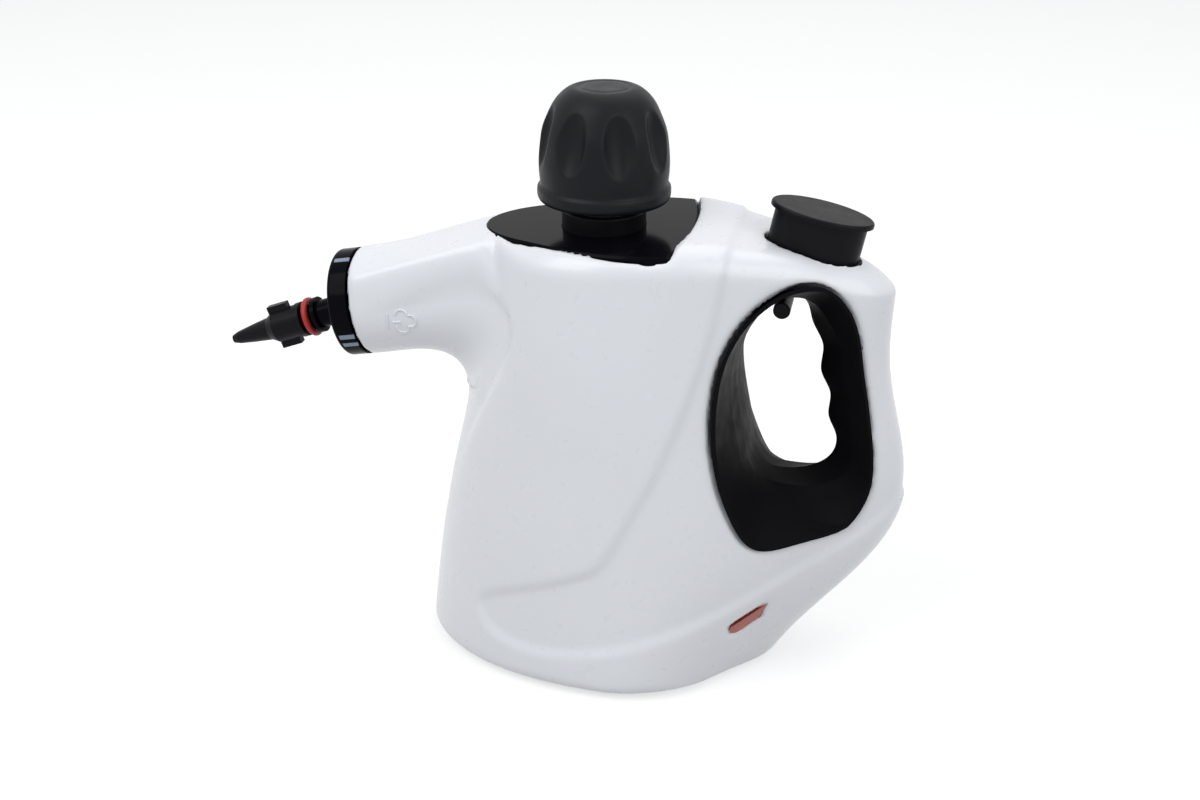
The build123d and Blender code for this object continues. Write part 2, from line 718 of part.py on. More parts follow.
with BuildPart() as terminal_block:
    with BuildSketch(Plane.XY.offset(floor_top)):
        with Locations((terminal_x, 0)):
            Rectangle(terminal_size[0], terminal_size[1])
    extrude(amount=terminal_size[2])
    with BuildSketch(Plane.XY.offset(floor_top + terminal_size[2])):
        with Locations((terminal_x, 0)):
            with GridLocations(terminal_size[0] / 3, terminal_size[1] / 2, 3, 2):
                Circle(terminal_size[1] / 8)
    extrude(amount=-terminal_size[2] / 3, mode=Mode.SUBTRACT)
terminal_block.part.label = "terminal_block"
export_step(terminal_block.part, "parts/terminal_block.step")

# Filler neck, neck ring and the deck plate round them
with BuildPart() as filler_neck:
    with BuildSketch(Plane.XY.offset(boiler_top)):
        Circle(filler_radius)
    extrude(amount=filler_top - boiler_top)
    with BuildSketch(Plane.XY.offset(boiler_top)):
        Circle(filler_flange)
    extrude(amount=filler_flange_thickness)
    with BuildSketch(Plane.XY.offset(boiler_top)):
        Circle(filler_bore)
    extrude(amount=filler_top - boiler_top, mode=Mode.SUBTRACT)
filler_neck.part.label = "filler_neck"
export_step(filler_neck.part, "parts/filler_neck.step")

with BuildPart() as neck_ring:
    with BuildSketch(Plane.XY.offset(ring_bottom)):
        Circle(ring_flange)
    extrude(amount=ring_flange_thickness)
    with BuildSketch(Plane.XY.offset(ring_bottom)):
        Circle(ring_radius)
    extrude(amount=ring_top - ring_bottom)
    fillet(neck_ring.edges().sort_by(Axis.Z)[-1], ring_round)
    with BuildSketch(Plane.XY.offset(ring_bottom)):
        Circle(filler_radius + running_fit)
    extrude(amount=ring_top - ring_bottom, mode=Mode.SUBTRACT)
neck_ring.part.label = "neck_ring"
export_step(neck_ring.part, "parts/neck_ring.step")

with BuildPart() as deck_plate:
    add(deck_solid(0, deck_thickness, 0))
    chamfer(deck_plate.faces().sort_by(Axis.Z)[-1].edges(), deck_edge)
    with BuildSketch(Plane.XY.offset(deck_height - overrun)):
        Circle(ring_radius + clearance)
    extrude(amount=2 * overrun, mode=Mode.SUBTRACT)
deck_plate.part.label = "deck_plate"
export_step(deck_plate.part, "parts/deck_plate.step")

# Safety cap: gasket, threaded plug, pressure valve, spring and fluted cover
with BuildPart() as cap_gasket:
    with BuildSketch(Plane.XY.offset(filler_top)):
        Circle(gasket_radius)
        Circle(filler_bore + running_fit, mode=Mode.SUBTRACT)
    extrude(amount=gasket_thickness)
cap_gasket.part.label = "cap_gasket"
export_step(cap_gasket.part, "parts/cap_gasket.step")

with BuildPart() as cap_plug:
    with BuildSketch(Plane.XY.offset(plug_bottom)):
        Circle(filler_bore - running_fit)
    extrude(amount=plug_seat - plug_bottom)
    with BuildSketch(Plane.XY.offset(plug_seat)):
        Circle(plug_flange_radius)
    extrude(amount=plug_flange_thickness)
    with BuildSketch(Plane.XY.offset(plug_flange_top)):
        Circle(plug_hub_radius)
    extrude(amount=plug_hub_top - plug_flange_top)
    with BuildSketch(Plane.XY.offset(plug_bottom)):
        Circle(relief_radius / 2)
    extrude(amount=plug_hub_top - plug_bottom, mode=Mode.SUBTRACT)
    with BuildSketch(Plane.XY.offset(relief_bottom)):
        Circle(relief_radius + running_fit)
    extrude(amount=plug_hub_top - relief_bottom, mode=Mode.SUBTRACT)
cap_plug.part.label = "cap_plug"
export_step(cap_plug.part, "parts/cap_plug.step")

with BuildPart() as relief_valve:
    with BuildSketch(Plane.XY.offset(relief_bottom)):
        Circle(relief_radius)
    extrude(amount=relief_top - relief_bottom)
    fillet(relief_valve.edges().sort_by(Axis.Z)[-1], relief_radius / 4)
relief_valve.part.label = "relief_valve"
export_step(relief_valve.part, "parts/relief_valve.step")

with BuildPart() as cap_spring:
    with BuildSketch(Plane.XY.offset(plug_flange_top)):
        Circle(spring_outer)
        Circle(spring_inner, mode=Mode.SUBTRACT)
    extrude(amount=cap_roof - plug_flange_top)
cap_spring.part.label = "cap_spring"
export_step(cap_spring.part, "parts/cap_spring.step")

with BuildPart() as cap_cover:
    with BuildSketch(Plane.XZ):
        with BuildLine():
            Polyline(*cap_profile[:4])
            Spline(*cap_profile[3:], (cap_ring_radius + cap_ring_width, cap_top))
            Polyline((cap_ring_radius + cap_ring_width, cap_top), (0, cap_top), (0, cap_roof), *reversed(cap_inner),
                     cap_profile[0])
        make_face()
    revolve(axis=Axis.Z)
    with BuildSketch(Plane.XY.offset(cap_top - cap_ring_height)):
        Circle(cap_ring_radius + cap_ring_width / 2)
        Circle(cap_ring_radius - cap_ring_width / 2, mode=Mode.SUBTRACT)
    extrude(amount=cap_ring_height, mode=Mode.SUBTRACT)
    with BuildSketch(Plane.XY.offset(drive_bottom)):
        Circle(drive_outer)
        Circle(drive_inner, mode=Mode.SUBTRACT)
    extrude(amount=cap_roof - drive_bottom)
cover = cap_cover.part
flute = scale(Sphere(flute_width), by=(1, 1, flute_height / flute_width))
with BuildPart() as cap_shell:
    add(cover)
    with PolarLocations(flute_axis_radius, flute_count, flute_phase):
        add(flute.moved(Location((0, 0, flute_middle), (0, -flute_tilt, 0))), mode=Mode.SUBTRACT)
cap_shell.part.label = "cap_cover"
export_step(cap_shell.part, "parts/cap_cover.step")

# Nozzle collar with its three marks
with BuildPart() as collar:
    with BuildSketch(barrel_plane.offset(-collar_length)):
        Circle(barrel_radius)
    extrude(amount=collar_length)
    fillet(collar.edges().sort_by(Axis.X)[0], collar_round)
    with BuildSketch(barrel_plane.offset(-collar_length)):
        Circle(barrel_radius - wall - clearance)
    extrude(amount=collar_length + collar_tail)
    with BuildSketch(barrel_plane.offset(collar_face - collar_length)):
        Circle(barrel_radius - wall - clearance - collar_wall)
    extrude(amount=collar_length + collar_tail, mode=Mode.SUBTRACT)
    with BuildSketch(nozzle_plane.offset(spigot_rear)):
        Circle(spigot_radius + clearance)
    extrude(amount=overrun * 2, mode=Mode.SUBTRACT)
marks = []
for angle in mark_angles:
    turn = radians(angle)
    plane = Plane(origin=barrel_plane.from_local_coords((-barrel_radius * cos(turn), barrel_radius * sin(turn), 0)),
                  x_dir=barrel_plane.z_dir,
                  z_dir=barrel_plane.x_dir * -cos(turn) + barrel_plane.y_dir * sin(turn))
    with BuildPart() as bar:
        with BuildSketch(plane.offset(-mark_depth)):
            with Locations((-mark_length / 2, 0)):
                Rectangle(mark_length, mark_width)
        extrude(amount=overrun)
    marks.append(bar.part)
for number, bar in enumerate(marks, 1):
    with BuildPart() as collar_mark:
        add(collar)
        add(bar, mode=Mode.INTERSECT)
    collar_mark.part.label = f"collar_mark_{number}"
    export_step(collar_mark.part, f"parts/{collar_mark.part.label}.step")
with BuildPart() as nozzle_collar:
    add(collar)
    for bar in marks:
        add(bar, mode=Mode.SUBTRACT)
nozzle_collar.part.label = "nozzle_collar"
export_step(nozzle_collar.part, "parts/nozzle_collar.step")

# Spigot, sealing ring and jet nozzle on the drooping axis
with BuildPart() as outlet_spigot:
    with BuildSketch(nozzle_plane.offset(spigot_rear)):
        Circle(spigot_radius)
    extrude(amount=spigot_front - spigot_rear)
    with BuildSketch(nozzle_plane.offset(spigot_front)):
        Circle(spigot_flange_radius)
    extrude(amount=spigot_flange_end - spigot_front)
    with BuildSketch(nozzle_plane.offset(spigot_flange_end)):
        Circle(spigot_seat_radius)
    extrude(amount=spigot_seat_end - spigot_flange_end)
    with BuildSketch(nozzle_plane.offset(spigot_seat_end)):
        Circle(nipple_radius)
    extrude(amount=nipple_end - spigot_seat_end)
    with BuildSketch(nozzle_plane.offset(spigot_rear)):
        Circle(spigot_bore)
    extrude(amount=nipple_end - spigot_rear, mode=Mode.SUBTRACT)
outlet_spigot.part.label = "outlet_spigot"
export_step(outlet_spigot.part, "parts/outlet_spigot.step")

with BuildPart() as spigot_o_ring:
    with BuildSketch(nozzle_section):
        with Locations((spigot_seat_radius + o_ring_section + running_fit, (spigot_flange_end + spigot_seat_end) / 2)):
            Circle(o_ring_section)
    revolve(axis=nozzle_axis)
spigot_o_ring.part.label = "spigot_o_ring"
export_step(spigot_o_ring.part, "parts/spigot_o_ring.step")

with BuildPart() as jet_nozzle:
    with BuildSketch(nozzle_plane.offset(jet_start)):
        Circle(jet_ring_radius)
    extrude(amount=jet_ring_end - jet_start)
    with BuildSketch(nozzle_plane.offset(jet_start)):
        Circle(jet_body_radius)
    extrude(amount=jet_body_end - jet_start)
    with BuildSketch(nozzle_section):
        with BuildLine():
            Polyline((0, jet_body_end), (jet_body_radius, jet_body_end), *jet_profile, (0, jet_profile[-1][1]),
                     close=True)
        make_face()
    revolve(axis=nozzle_axis)
    with BuildSketch(nozzle_plane.offset(lug_start)):
        Rectangle(lug_width, 2 * lug_reach)
    extrude(amount=lug_end - lug_start)
    with BuildSketch(nozzle_plane.offset(jet_start)):
        Circle(nipple_radius + running_fit)
    extrude(amount=jet_socket_end - jet_start, mode=Mode.SUBTRACT)
    with BuildSketch(nozzle_plane.offset(jet_start)):
        Circle(jet_bore)
    extrude(amount=overrun + jet_start, mode=Mode.SUBTRACT)
jet_nozzle.part.label = "jet_nozzle"
export_step(jet_nozzle.part, "parts/jet_nozzle.step")

# Steam pipe and its union nut at the spigot
with BuildPart() as steam_pipe:
    with BuildLine() as route:
        FilletPolyline(*pipe_points, radius=pipe_bends)
    with BuildSketch(Plane(origin=route.line @ 0, z_dir=route.line % 0)):
        Circle(pipe_radius)
        Circle(pipe_radius - pipe_wall, mode=Mode.SUBTRACT)
    sweep()
steam_pipe.part.label = "steam_pipe"
export_step(steam_pipe.part, "parts/steam_pipe.step")

with BuildPart() as pipe_nut:
    with BuildSketch(nozzle_plane.offset(spigot_rear - pipe_nut_length)):
        RegularPolygon(pipe_nut_radius, 6)
        Circle(pipe_radius + running_fit, mode=Mode.SUBTRACT)
    extrude(amount=pipe_nut_length)
pipe_nut.part.label = "pipe_nut"
export_step(pipe_nut.part, "parts/pipe_nut.step")

# Steam button, trigger lever, valve and lock slider
with BuildPart() as steam_button:
    with BuildSketch(button_plane.offset(-button_lip)):
        Ellipse(button_length, button_width)
    extrude(amount=button_lip)
    fillet(steam_button.edges().sort_by(Axis.Z)[-1], button_round)
    with BuildSketch(button_plane.offset(-button_depth)):
        Ellipse(button_skirt_length, button_skirt_width)
        Ellipse(button_skirt_length - button_wall, button_skirt_width - button_wall, mode=Mode.SUBTRACT)
    extrude(amount=button_depth - button_lip)
    with BuildSketch(button_plane.offset(-post_end)):
        Circle(post_radius)
    extrude(amount=post_end - button_lip)
steam_button.part.label = "steam_button"
export_step(steam_button.part, "parts/steam_button.step")

with BuildPart() as valve_lever:
    with BuildSketch(Plane.XY.offset(lever_bottom)):
        with Locations(((lever_front + lever_rear) / 2, 0)):
            RectangleRounded(lever_rear - lever_front, lever_width, lever_width / 4)
    extrude(amount=lever_thickness)
    with BuildSketch(Plane.XZ.offset(-lever_width)):
        with Locations((lever_pivot, pin_height)):
            Circle(lever_pin_radius + running_fit)
    extrude(amount=2 * lever_width, mode=Mode.SUBTRACT)
valve_lever.part.label = "valve_lever"
export_step(valve_lever.part, "parts/valve_lever.step")

with BuildPart() as lever_pin:
    with BuildSketch(Plane.XZ.offset(-lever_width / 2 - bracket_wall)):
        with Locations((lever_pivot, pin_height)):
            Circle(lever_pin_radius)
    extrude(amount=lever_width + 2 * bracket_wall)
lever_pin.part.label = "lever_pin"
export_step(lever_pin.part, "parts/lever_pin.step")

with BuildPart() as valve_bracket:
    with BuildSketch(Plane.XY.offset(boiler_top)):
        with Locations((lever_pivot, 0)):
            Rectangle(bracket_length, lever_width + 2 * bracket_wall + 2 * clearance)
    extrude(amount=lever_top + clearance - boiler_top)
    with BuildSketch(Plane.XY.offset(boiler_top + bracket_foot)):
        with Locations((lever_pivot, 0)):
            Rectangle(2 * bracket_length, lever_width + 2 * clearance)
    extrude(amount=overrun, mode=Mode.SUBTRACT)
    with BuildSketch(Plane.XZ.offset(-lever_width)):
        with Locations((lever_pivot, pin_height)):
            Circle(lever_pin_radius + running_fit)
    extrude(amount=2 * lever_width, mode=Mode.SUBTRACT)
valve_bracket.part.label = "valve_bracket"
export_step(valve_bracket.part, "parts/valve_bracket.step")

valve_axis_plane = Plane(origin=(valve_x, 0, 0), x_dir=(1, 0, 0), z_dir=(0, 0, 1))
with BuildPart() as valve_body:
    with BuildSketch(valve_axis_plane.offset(valve_bottom)):
        Circle(valve_radius)
    extrude(amount=valve_top - valve_bottom)
    with BuildSketch(Plane.YZ.offset(boiler_radius - boiler_wall)):
        with Locations((0, valve_port_height)):
            Circle(valve_port_radius)
    extrude(amount=valve_x - boiler_radius + boiler_wall)
    with BuildSketch(Plane.XZ.offset(-pipe_port)):
        with Locations((valve_x, pipe_height)):
            Circle(pipe_radius + pipe_wall)
    extrude(amount=pipe_port)
    with BuildSketch(Plane.YZ.offset(boiler_radius - boiler_wall)):
        with Locations((0, valve_port_height)):
            Circle(stem_radius)
    extrude(amount=valve_x - boiler_radius + boiler_wall, mode=Mode.SUBTRACT)
    with BuildSketch(valve_axis_plane.offset(valve_port_height)):
        Circle(stem_radius + running_fit)
    extrude(amount=valve_top - valve_port_height, mode=Mode.SUBTRACT)
valve_body.part.label = "valve_body"
export_step(valve_body.part, "parts/valve_body.step")

with BuildPart() as valve_stem:
    with BuildSketch(valve_axis_plane.offset(stem_bottom + stem_travel)):
        Circle(stem_radius)
    extrude(amount=stem_top - stem_bottom - stem_travel)
    with BuildSketch(valve_axis_plane.offset(stem_top - stem_head)):
        Circle(stem_head_radius)
    extrude(amount=stem_head)
valve_stem.part.label = "valve_stem"
export_step(valve_stem.part, "parts/valve_stem.step")

with BuildPart() as valve_spring:
    with BuildSketch(valve_axis_plane.offset(valve_top)):
        Circle(valve_spring_outer)
        Circle(valve_spring_inner, mode=Mode.SUBTRACT)
    extrude(amount=stem_top - stem_head - valve_top)
valve_spring.part.label = "valve_spring"
export_step(valve_spring.part, "parts/valve_spring.step")

with BuildPart() as lock_slider:
    with BuildSketch(Plane.XZ.offset(-lock_length / 2)):
        with Locations((lock_x, lock_z)):
            Circle(lock_radius)
    extrude(amount=lock_length)
    chamfer(lock_slider.edges().filter_by(GeomType.CIRCLE), lock_radius / 8)
    with BuildSketch(Plane.XY.offset(lock_z)):
        with Locations((lock_x, 0)):
            Rectangle(lock_neck, lock_neck)
    extrude(amount=lock_head_low - lock_z)
    with BuildSketch(Plane.XY.offset(lock_head_low)):
        with Locations((lock_x, 0)):
            Rectangle(lock_head_length, lock_head_width)
    extrude(amount=lock_head_high - lock_head_low)
lock_slider.part.label = "lock_slider"
export_step(lock_slider.part, "parts/lock_slider.step")

# Cord gland, lamp and the screws that hold the two shells together
with BuildPart() as cord_gland:
    with BuildSketch(gland_plane):
        Circle(gland_flange_radius)
    extrude(amount=gland_flange)
    fillet(cord_gland.edges().filter_by(GeomType.CIRCLE).sort_by(Axis.X)[-1], gland_flange / 5)
    with BuildSketch(gland_plane.offset(-gland_length)):
        Circle(gland_radius)
    extrude(amount=gland_length)
    with BuildSketch(gland_plane.offset(-gland_length)):
        Circle(gland_bore)
    extrude(amount=gland_length + gland_flange, mode=Mode.SUBTRACT)
cord_gland.part.label = "cord_gland"
export_step(cord_gland.part, "parts/cord_gland.step")

indicator_lamp = tube(lamp_plane, lamp_radius, 0, lens_back - lamp_length, lens_back)
indicator_lamp.label = "indicator_lamp"
export_step(indicator_lamp, "parts/indicator_lamp.step")

for number, spot in enumerate(shell_screws, 1):
    shell_screw = screw(screw_planes[spot], shell_screw_radius, shell_screw_seat + shell_screw_reach,
                        shell_screw_head, shell_screw_head_height)
    shell_screw.label = f"shell_screw_{number}"
    export_step(shell_screw, f"parts/{shell_screw.label}.step")
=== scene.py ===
"""Looks of a handheld steam cleaner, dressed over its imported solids."""
import logging
import math
from collections.abc import Callable, Sequence
from dataclasses import dataclass
from enum import Enum

import bmesh
import bpy
import numpy as np
from mathutils import Matrix, Vector
from mathutils.bvhtree import BVHTree
from mathutils.geometry import convex_hull_2d
from mathutils.kdtree import KDTree

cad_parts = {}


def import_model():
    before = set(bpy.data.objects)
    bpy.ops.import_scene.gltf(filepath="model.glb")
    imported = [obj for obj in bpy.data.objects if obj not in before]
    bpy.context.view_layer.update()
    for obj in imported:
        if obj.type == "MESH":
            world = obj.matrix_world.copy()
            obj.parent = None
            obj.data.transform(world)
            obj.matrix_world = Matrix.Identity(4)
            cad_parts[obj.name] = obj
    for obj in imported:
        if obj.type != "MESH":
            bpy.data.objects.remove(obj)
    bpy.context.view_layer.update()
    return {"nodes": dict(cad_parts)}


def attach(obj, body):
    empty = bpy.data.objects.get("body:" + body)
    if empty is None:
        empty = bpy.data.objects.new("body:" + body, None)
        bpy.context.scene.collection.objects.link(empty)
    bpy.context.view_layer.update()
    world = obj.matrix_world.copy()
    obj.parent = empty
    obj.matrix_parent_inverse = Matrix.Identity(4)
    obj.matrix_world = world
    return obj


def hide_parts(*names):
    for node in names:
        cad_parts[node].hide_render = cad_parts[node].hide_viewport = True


LOG = logging.getLogger("steam_cleaner")
MM = 0.001
WELD = 2e-6  # vertices of neighbouring solids closer than this become one
INSIDE_KEPT = 0.85  # ratio of the thinning of the inner walls
EVEN_SHARE = 0.5  # how much of its neighbours' mean a vertex takes in one round
SURE_TURN = 0.985  # cosine of the largest turn at which the solid's own normal is taken
NEAR = 0.003  # how far a vertex looks for the solid's surface
SHADING = "shading"  # attribute that carries the normals through the thinning
SECTOR = 3.0  # degrees of one sector of the base's rim
SECTORS = int(360 / SECTOR)
FAR = 1e9
TINY = 1e-9
Colour = tuple[float, float, float]
Place = tuple[float, float, float]


class Grain(Enum):
    """How a moulded or machined surface is textured."""

    GLOSS = "gloss"
    SATIN = "satin"
    SPARK = "spark"
    BRUSHED = "brushed"


@dataclass(frozen=True)
class Finish:
    """One surface finish, with the size and strength of its grain."""

    name: str
    colour: Colour
    roughness: float
    grain: Grain = Grain.SATIN
    metallic: float = 0.0
    specular: float = 0.5
    coat: float = 0.0
    coat_roughness: float = 0.08
    tint_share: float = 0.05
    bump: float = 0.06
    grain_per_metre: float = 2600.0
    transmission: float = 0.0
    # glow: painted light, the part shines in its own colour though no lamp lights it
    glow: float = 0.0


WHITE_SHELL = Finish("white_moulding", (0.82, 0.84, 0.88), 0.30, Grain.SATIN, coat=0.25, coat_roughness=0.12,
                     tint_share=0.025, bump=0.0)
WHITE_BASE = Finish("white_underside", (0.74, 0.76, 0.80), 0.42, Grain.SPARK, tint_share=0.04, bump=0.10)
SATIN_BLACK = Finish("satin_black", (0.006, 0.006, 0.008), 0.36, Grain.SATIN, specular=0.09, tint_share=0.20,
                     bump=0.05)
GRIP_BLACK = Finish("grip_black", (0.006, 0.006, 0.007), 0.50, Grain.SPARK, specular=0.03, tint_share=0.25,
                    bump=0.16)
GLOSS_BLACK = Finish("gloss_black", (0.003, 0.003, 0.005), 0.12, Grain.GLOSS, specular=0.03, tint_share=0.15,
                     bump=0.006)
CAP_BLACK = Finish("cap_black", (0.008, 0.009, 0.011), 0.42, Grain.SPARK, specular=0.14, tint_share=0.22,
                   bump=0.12)
INLAY = Finish("inlay_blue_grey", (0.21, 0.27, 0.36), 0.40, Grain.SATIN, tint_share=0.08, bump=0.03)
# The lens glows faintly in its own colour: a painted glow, while the lamp behind it stays unlit
LENS = Finish("lamp_lens", (0.36, 0.045, 0.016), 0.16, Grain.GLOSS, coat=0.5, coat_roughness=0.05,
              tint_share=0.12, bump=0.01, glow=0.03)
SILICONE = Finish("red_silicone", (0.42, 0.012, 0.010), 0.45, Grain.SATIN, tint_share=0.12, bump=0.05)
FOOT_RUBBER = Finish("foot_rubber", (0.02, 0.02, 0.021), 0.75, Grain.SPARK, tint_share=0.2, bump=0.2)
CAST_METAL = Finish("cast_aluminium", (0.56, 0.57, 0.59), 0.42, Grain.SPARK, metallic=1.0, tint_share=0.12,
                    bump=0.22)
BRASS = Finish("turned_brass", (0.68, 0.50, 0.20), 0.28, Grain.BRUSHED, metallic=1.0, tint_share=0.10,
               bump=0.06)
STEEL = Finish("bright_steel", (0.55, 0.55, 0.57), 0.30, Grain.BRUSHED, metallic=1.0, tint_share=0.08,
               bump=0.06)
NATURAL_PLASTIC = Finish("natural_plastic", (0.62, 0.60, 0.53), 0.50, Grain.SATIN, tint_share=0.06, bump=0.06)
LAMP_GLASS = Finish("lamp_glass", (0.8, 0.35, 0.15), 0.05, Grain.GLOSS, transmission=0.8, tint_share=0.05,
                    bump=0.0)


class SurfaceGrain:
    """Shared node group: slow colour mottling, a roughness mask and a fine height for bump."""

    def __init__(self) -> None:
        """Build the group once; every finish places it with its own values."""
        tree = bpy.data.node_groups.new("surface_grain", "ShaderNodeTree")
        face = tree.interface
        face.new_socket("Vector", in_out="INPUT", socket_type="NodeSocketVector")
        for name, value in (("Grain scale", 2600.0), ("Streak", 0.0)):
            socket = face.new_socket(name, in_out="INPUT", socket_type="NodeSocketFloat")
            socket.default_value = value
        for name in ("Mottle", "Sheen mask", "Height"):
            face.new_socket(name, in_out="OUTPUT", socket_type="NodeSocketFloat")
        inner = tree.nodes.new("NodeGroupInput")
        outer = tree.nodes.new("NodeGroupOutput")
        slow = tree.nodes.new("ShaderNodeTexNoise")
        slow.inputs["Scale"].default_value = 22.0
        slow.inputs["Detail"].default_value = 3.0
        medium = tree.nodes.new("ShaderNodeTexNoise")
        medium.inputs["Scale"].default_value = 160.0
        medium.inputs["Detail"].default_value = 4.0
        fine = tree.nodes.new("ShaderNodeTexNoise")
        fine.inputs["Detail"].default_value = 2.0
        streaks = tree.nodes.new("ShaderNodeTexNoise")
        streaks.inputs["Detail"].default_value = 1.0
        stretch = tree.nodes.new("ShaderNodeVectorMath")
        stretch.operation = "MULTIPLY"
        stretch.inputs[1].default_value = (0.04, 0.04, 1.0)
        choose = tree.nodes.new("ShaderNodeMix")
        choose.data_type = "FLOAT"
        link = tree.links.new
        for noise in (slow, medium, fine):
            link(inner.outputs["Vector"], noise.inputs["Vector"])
        link(inner.outputs["Grain scale"], fine.inputs["Scale"])
        link(inner.outputs["Vector"], stretch.inputs[0])
        link(stretch.outputs["Vector"], streaks.inputs["Vector"])
        link(inner.outputs["Grain scale"], streaks.inputs["Scale"])
        link(inner.outputs["Streak"], choose.inputs["Factor"])
        link(fine.outputs["Fac"], choose.inputs["A"])
        link(streaks.outputs["Fac"], choose.inputs["B"])
        link(slow.outputs["Fac"], outer.inputs["Mottle"])
        link(medium.outputs["Fac"], outer.inputs["Sheen mask"])
        link(choose.outputs["Result"], outer.inputs["Height"])
        self.tree = tree


class Paintbox:
    """Makes each finish into one material and keeps it for every piece that wears it."""

    def __init__(self) -> None:
        """Build the shared groups."""
        self.grain = SurfaceGrain()
        self.made: dict[str, bpy.types.Material] = {}

    def material(self, finish: Finish) -> bpy.types.Material:
        """Return the material of a finish, made on first use.

        Args:
            finish: The finish to make.

        Returns:
            The node material.
        """
        if finish.name in self.made:
            return self.made[finish.name]
        material = bpy.data.materials.new(finish.name)
        material.use_nodes = True
        tree = material.node_tree
        nodes, link = tree.nodes, tree.links.new
        shader = nodes["Principled BSDF"]
        place = nodes.new("ShaderNodeTexCoord")
        grain = nodes.new("ShaderNodeGroup")
        grain.node_tree = self.grain.tree
        grain.inputs["Grain scale"].default_value = finish.grain_per_metre
        grain.inputs["Streak"].default_value = 1.0 if finish.grain is Grain.BRUSHED else 0.0
        link(place.outputs["Object"], grain.inputs["Vector"])
        tint = nodes.new("ShaderNodeMix")
        tint.data_type = "RGBA"
        low = 1.0 - finish.tint_share
        high = 1.0 + finish.tint_share * 0.5
        tint.inputs["A"].default_value = (*[c * low for c in finish.colour], 1.0)
        tint.inputs["B"].default_value = (*[min(c * high, 1.0) for c in finish.colour], 1.0)
        link(grain.outputs["Mottle"], tint.inputs["Factor"])
        link(tint.outputs["Result"], shader.inputs["Base Color"])
        sheen = nodes.new("ShaderNodeMapRange")
        sheen.inputs["From Min"].default_value = 0.3
        sheen.inputs["From Max"].default_value = 0.7
        sheen.inputs["To Min"].default_value = max(finish.roughness * 0.88, 0.02)
        sheen.inputs["To Max"].default_value = min(finish.roughness * 1.12, 1.0)
        link(grain.outputs["Sheen mask"], sheen.inputs["Value"])
        link(sheen.outputs["Result"], shader.inputs["Roughness"])
        if finish.bump > 0:
            bump = nodes.new("ShaderNodeBump")
            bump.inputs["Strength"].default_value = finish.bump
            bump.inputs["Distance"].default_value = 0.0002
            link(grain.outputs["Height"], bump.inputs["Height"])
            link(bump.outputs["Normal"], shader.inputs["Normal"])
        shader.inputs["Metallic"].default_value = finish.metallic
        shader.inputs["Specular IOR Level"].default_value = finish.specular
        shader.inputs["Coat Weight"].default_value = finish.coat
        shader.inputs["Coat Roughness"].default_value = finish.coat_roughness
        shader.inputs["Transmission Weight"].default_value = finish.transmission
        # Emission in the finish's own colour: a painted glow, not a lamp
        if finish.glow > 0:
            shader.inputs["Emission Color"].default_value = (*finish.colour, 1.0)
            shader.inputs["Emission Strength"].default_value = finish.glow
        self.made[finish.name] = material
        return material

    def dress(self, thing: bpy.types.Object, finish: Finish) -> None:
        """Give an object one finish in place of what it wears.

        Args:
            thing: The object to dress.
            finish: The finish that it gets.
        """
        thing.data.materials.clear()
        thing.data.materials.append(self.material(finish))


NODE_FINISHES: dict[str, Finish] = {
    "left_shell": WHITE_SHELL, "right_shell": WHITE_SHELL, "base_plate": WHITE_BASE,
    "grip_liner_left": GRIP_BLACK, "grip_liner_right": GRIP_BLACK,
    "deck_plate": GLOSS_BLACK, "nozzle_collar": GLOSS_BLACK, "outlet_spigot": GLOSS_BLACK,
    "neck_ring": SATIN_BLACK, "cap_cover": CAP_BLACK, "jet_nozzle": SATIN_BLACK, "steam_button": SATIN_BLACK,
    "lock_slider": SATIN_BLACK, "cord_gland": SATIN_BLACK,
    "collar_mark": INLAY, "indicator_lens": LENS, "indicator_lamp": LAMP_GLASS,
    "spigot_o_ring": SILICONE, "cap_gasket": SILICONE, "boiler_gasket": SILICONE, "rubber_foot": FOOT_RUBBER,
    "boiler_lower": CAST_METAL, "boiler_upper": CAST_METAL, "filler_neck": CAST_METAL,
    "valve_body": BRASS, "valve_stem": BRASS, "pipe_nut": BRASS, "cap_plug": BRASS,
    "boiler_screw": STEEL, "base_screw": STEEL, "shell_screw": STEEL, "lever_pin": STEEL,
    "valve_bracket": STEEL, "relief_valve": STEEL, "cap_spring": STEEL, "valve_spring": STEEL,
    "heating_element": STEEL, "thermostat": STEEL,
    "boiler_seat": NATURAL_PLASTIC, "valve_lever": NATURAL_PLASTIC, "terminal_block": NATURAL_PLASTIC,
    "thermal_fuse": NATURAL_PLASTIC, "steam_pipe": NATURAL_PLASTIC,
}


def finish_of(node: str) -> Finish:
    """Find the finish of a node by its name, or by its name without a number.

    Args:
        node: Name of the CAD node.

    Returns:
        The finish.
    """
    return NODE_FINISHES.get(node) or NODE_FINISHES[node.rsplit("_", 1)[0]]


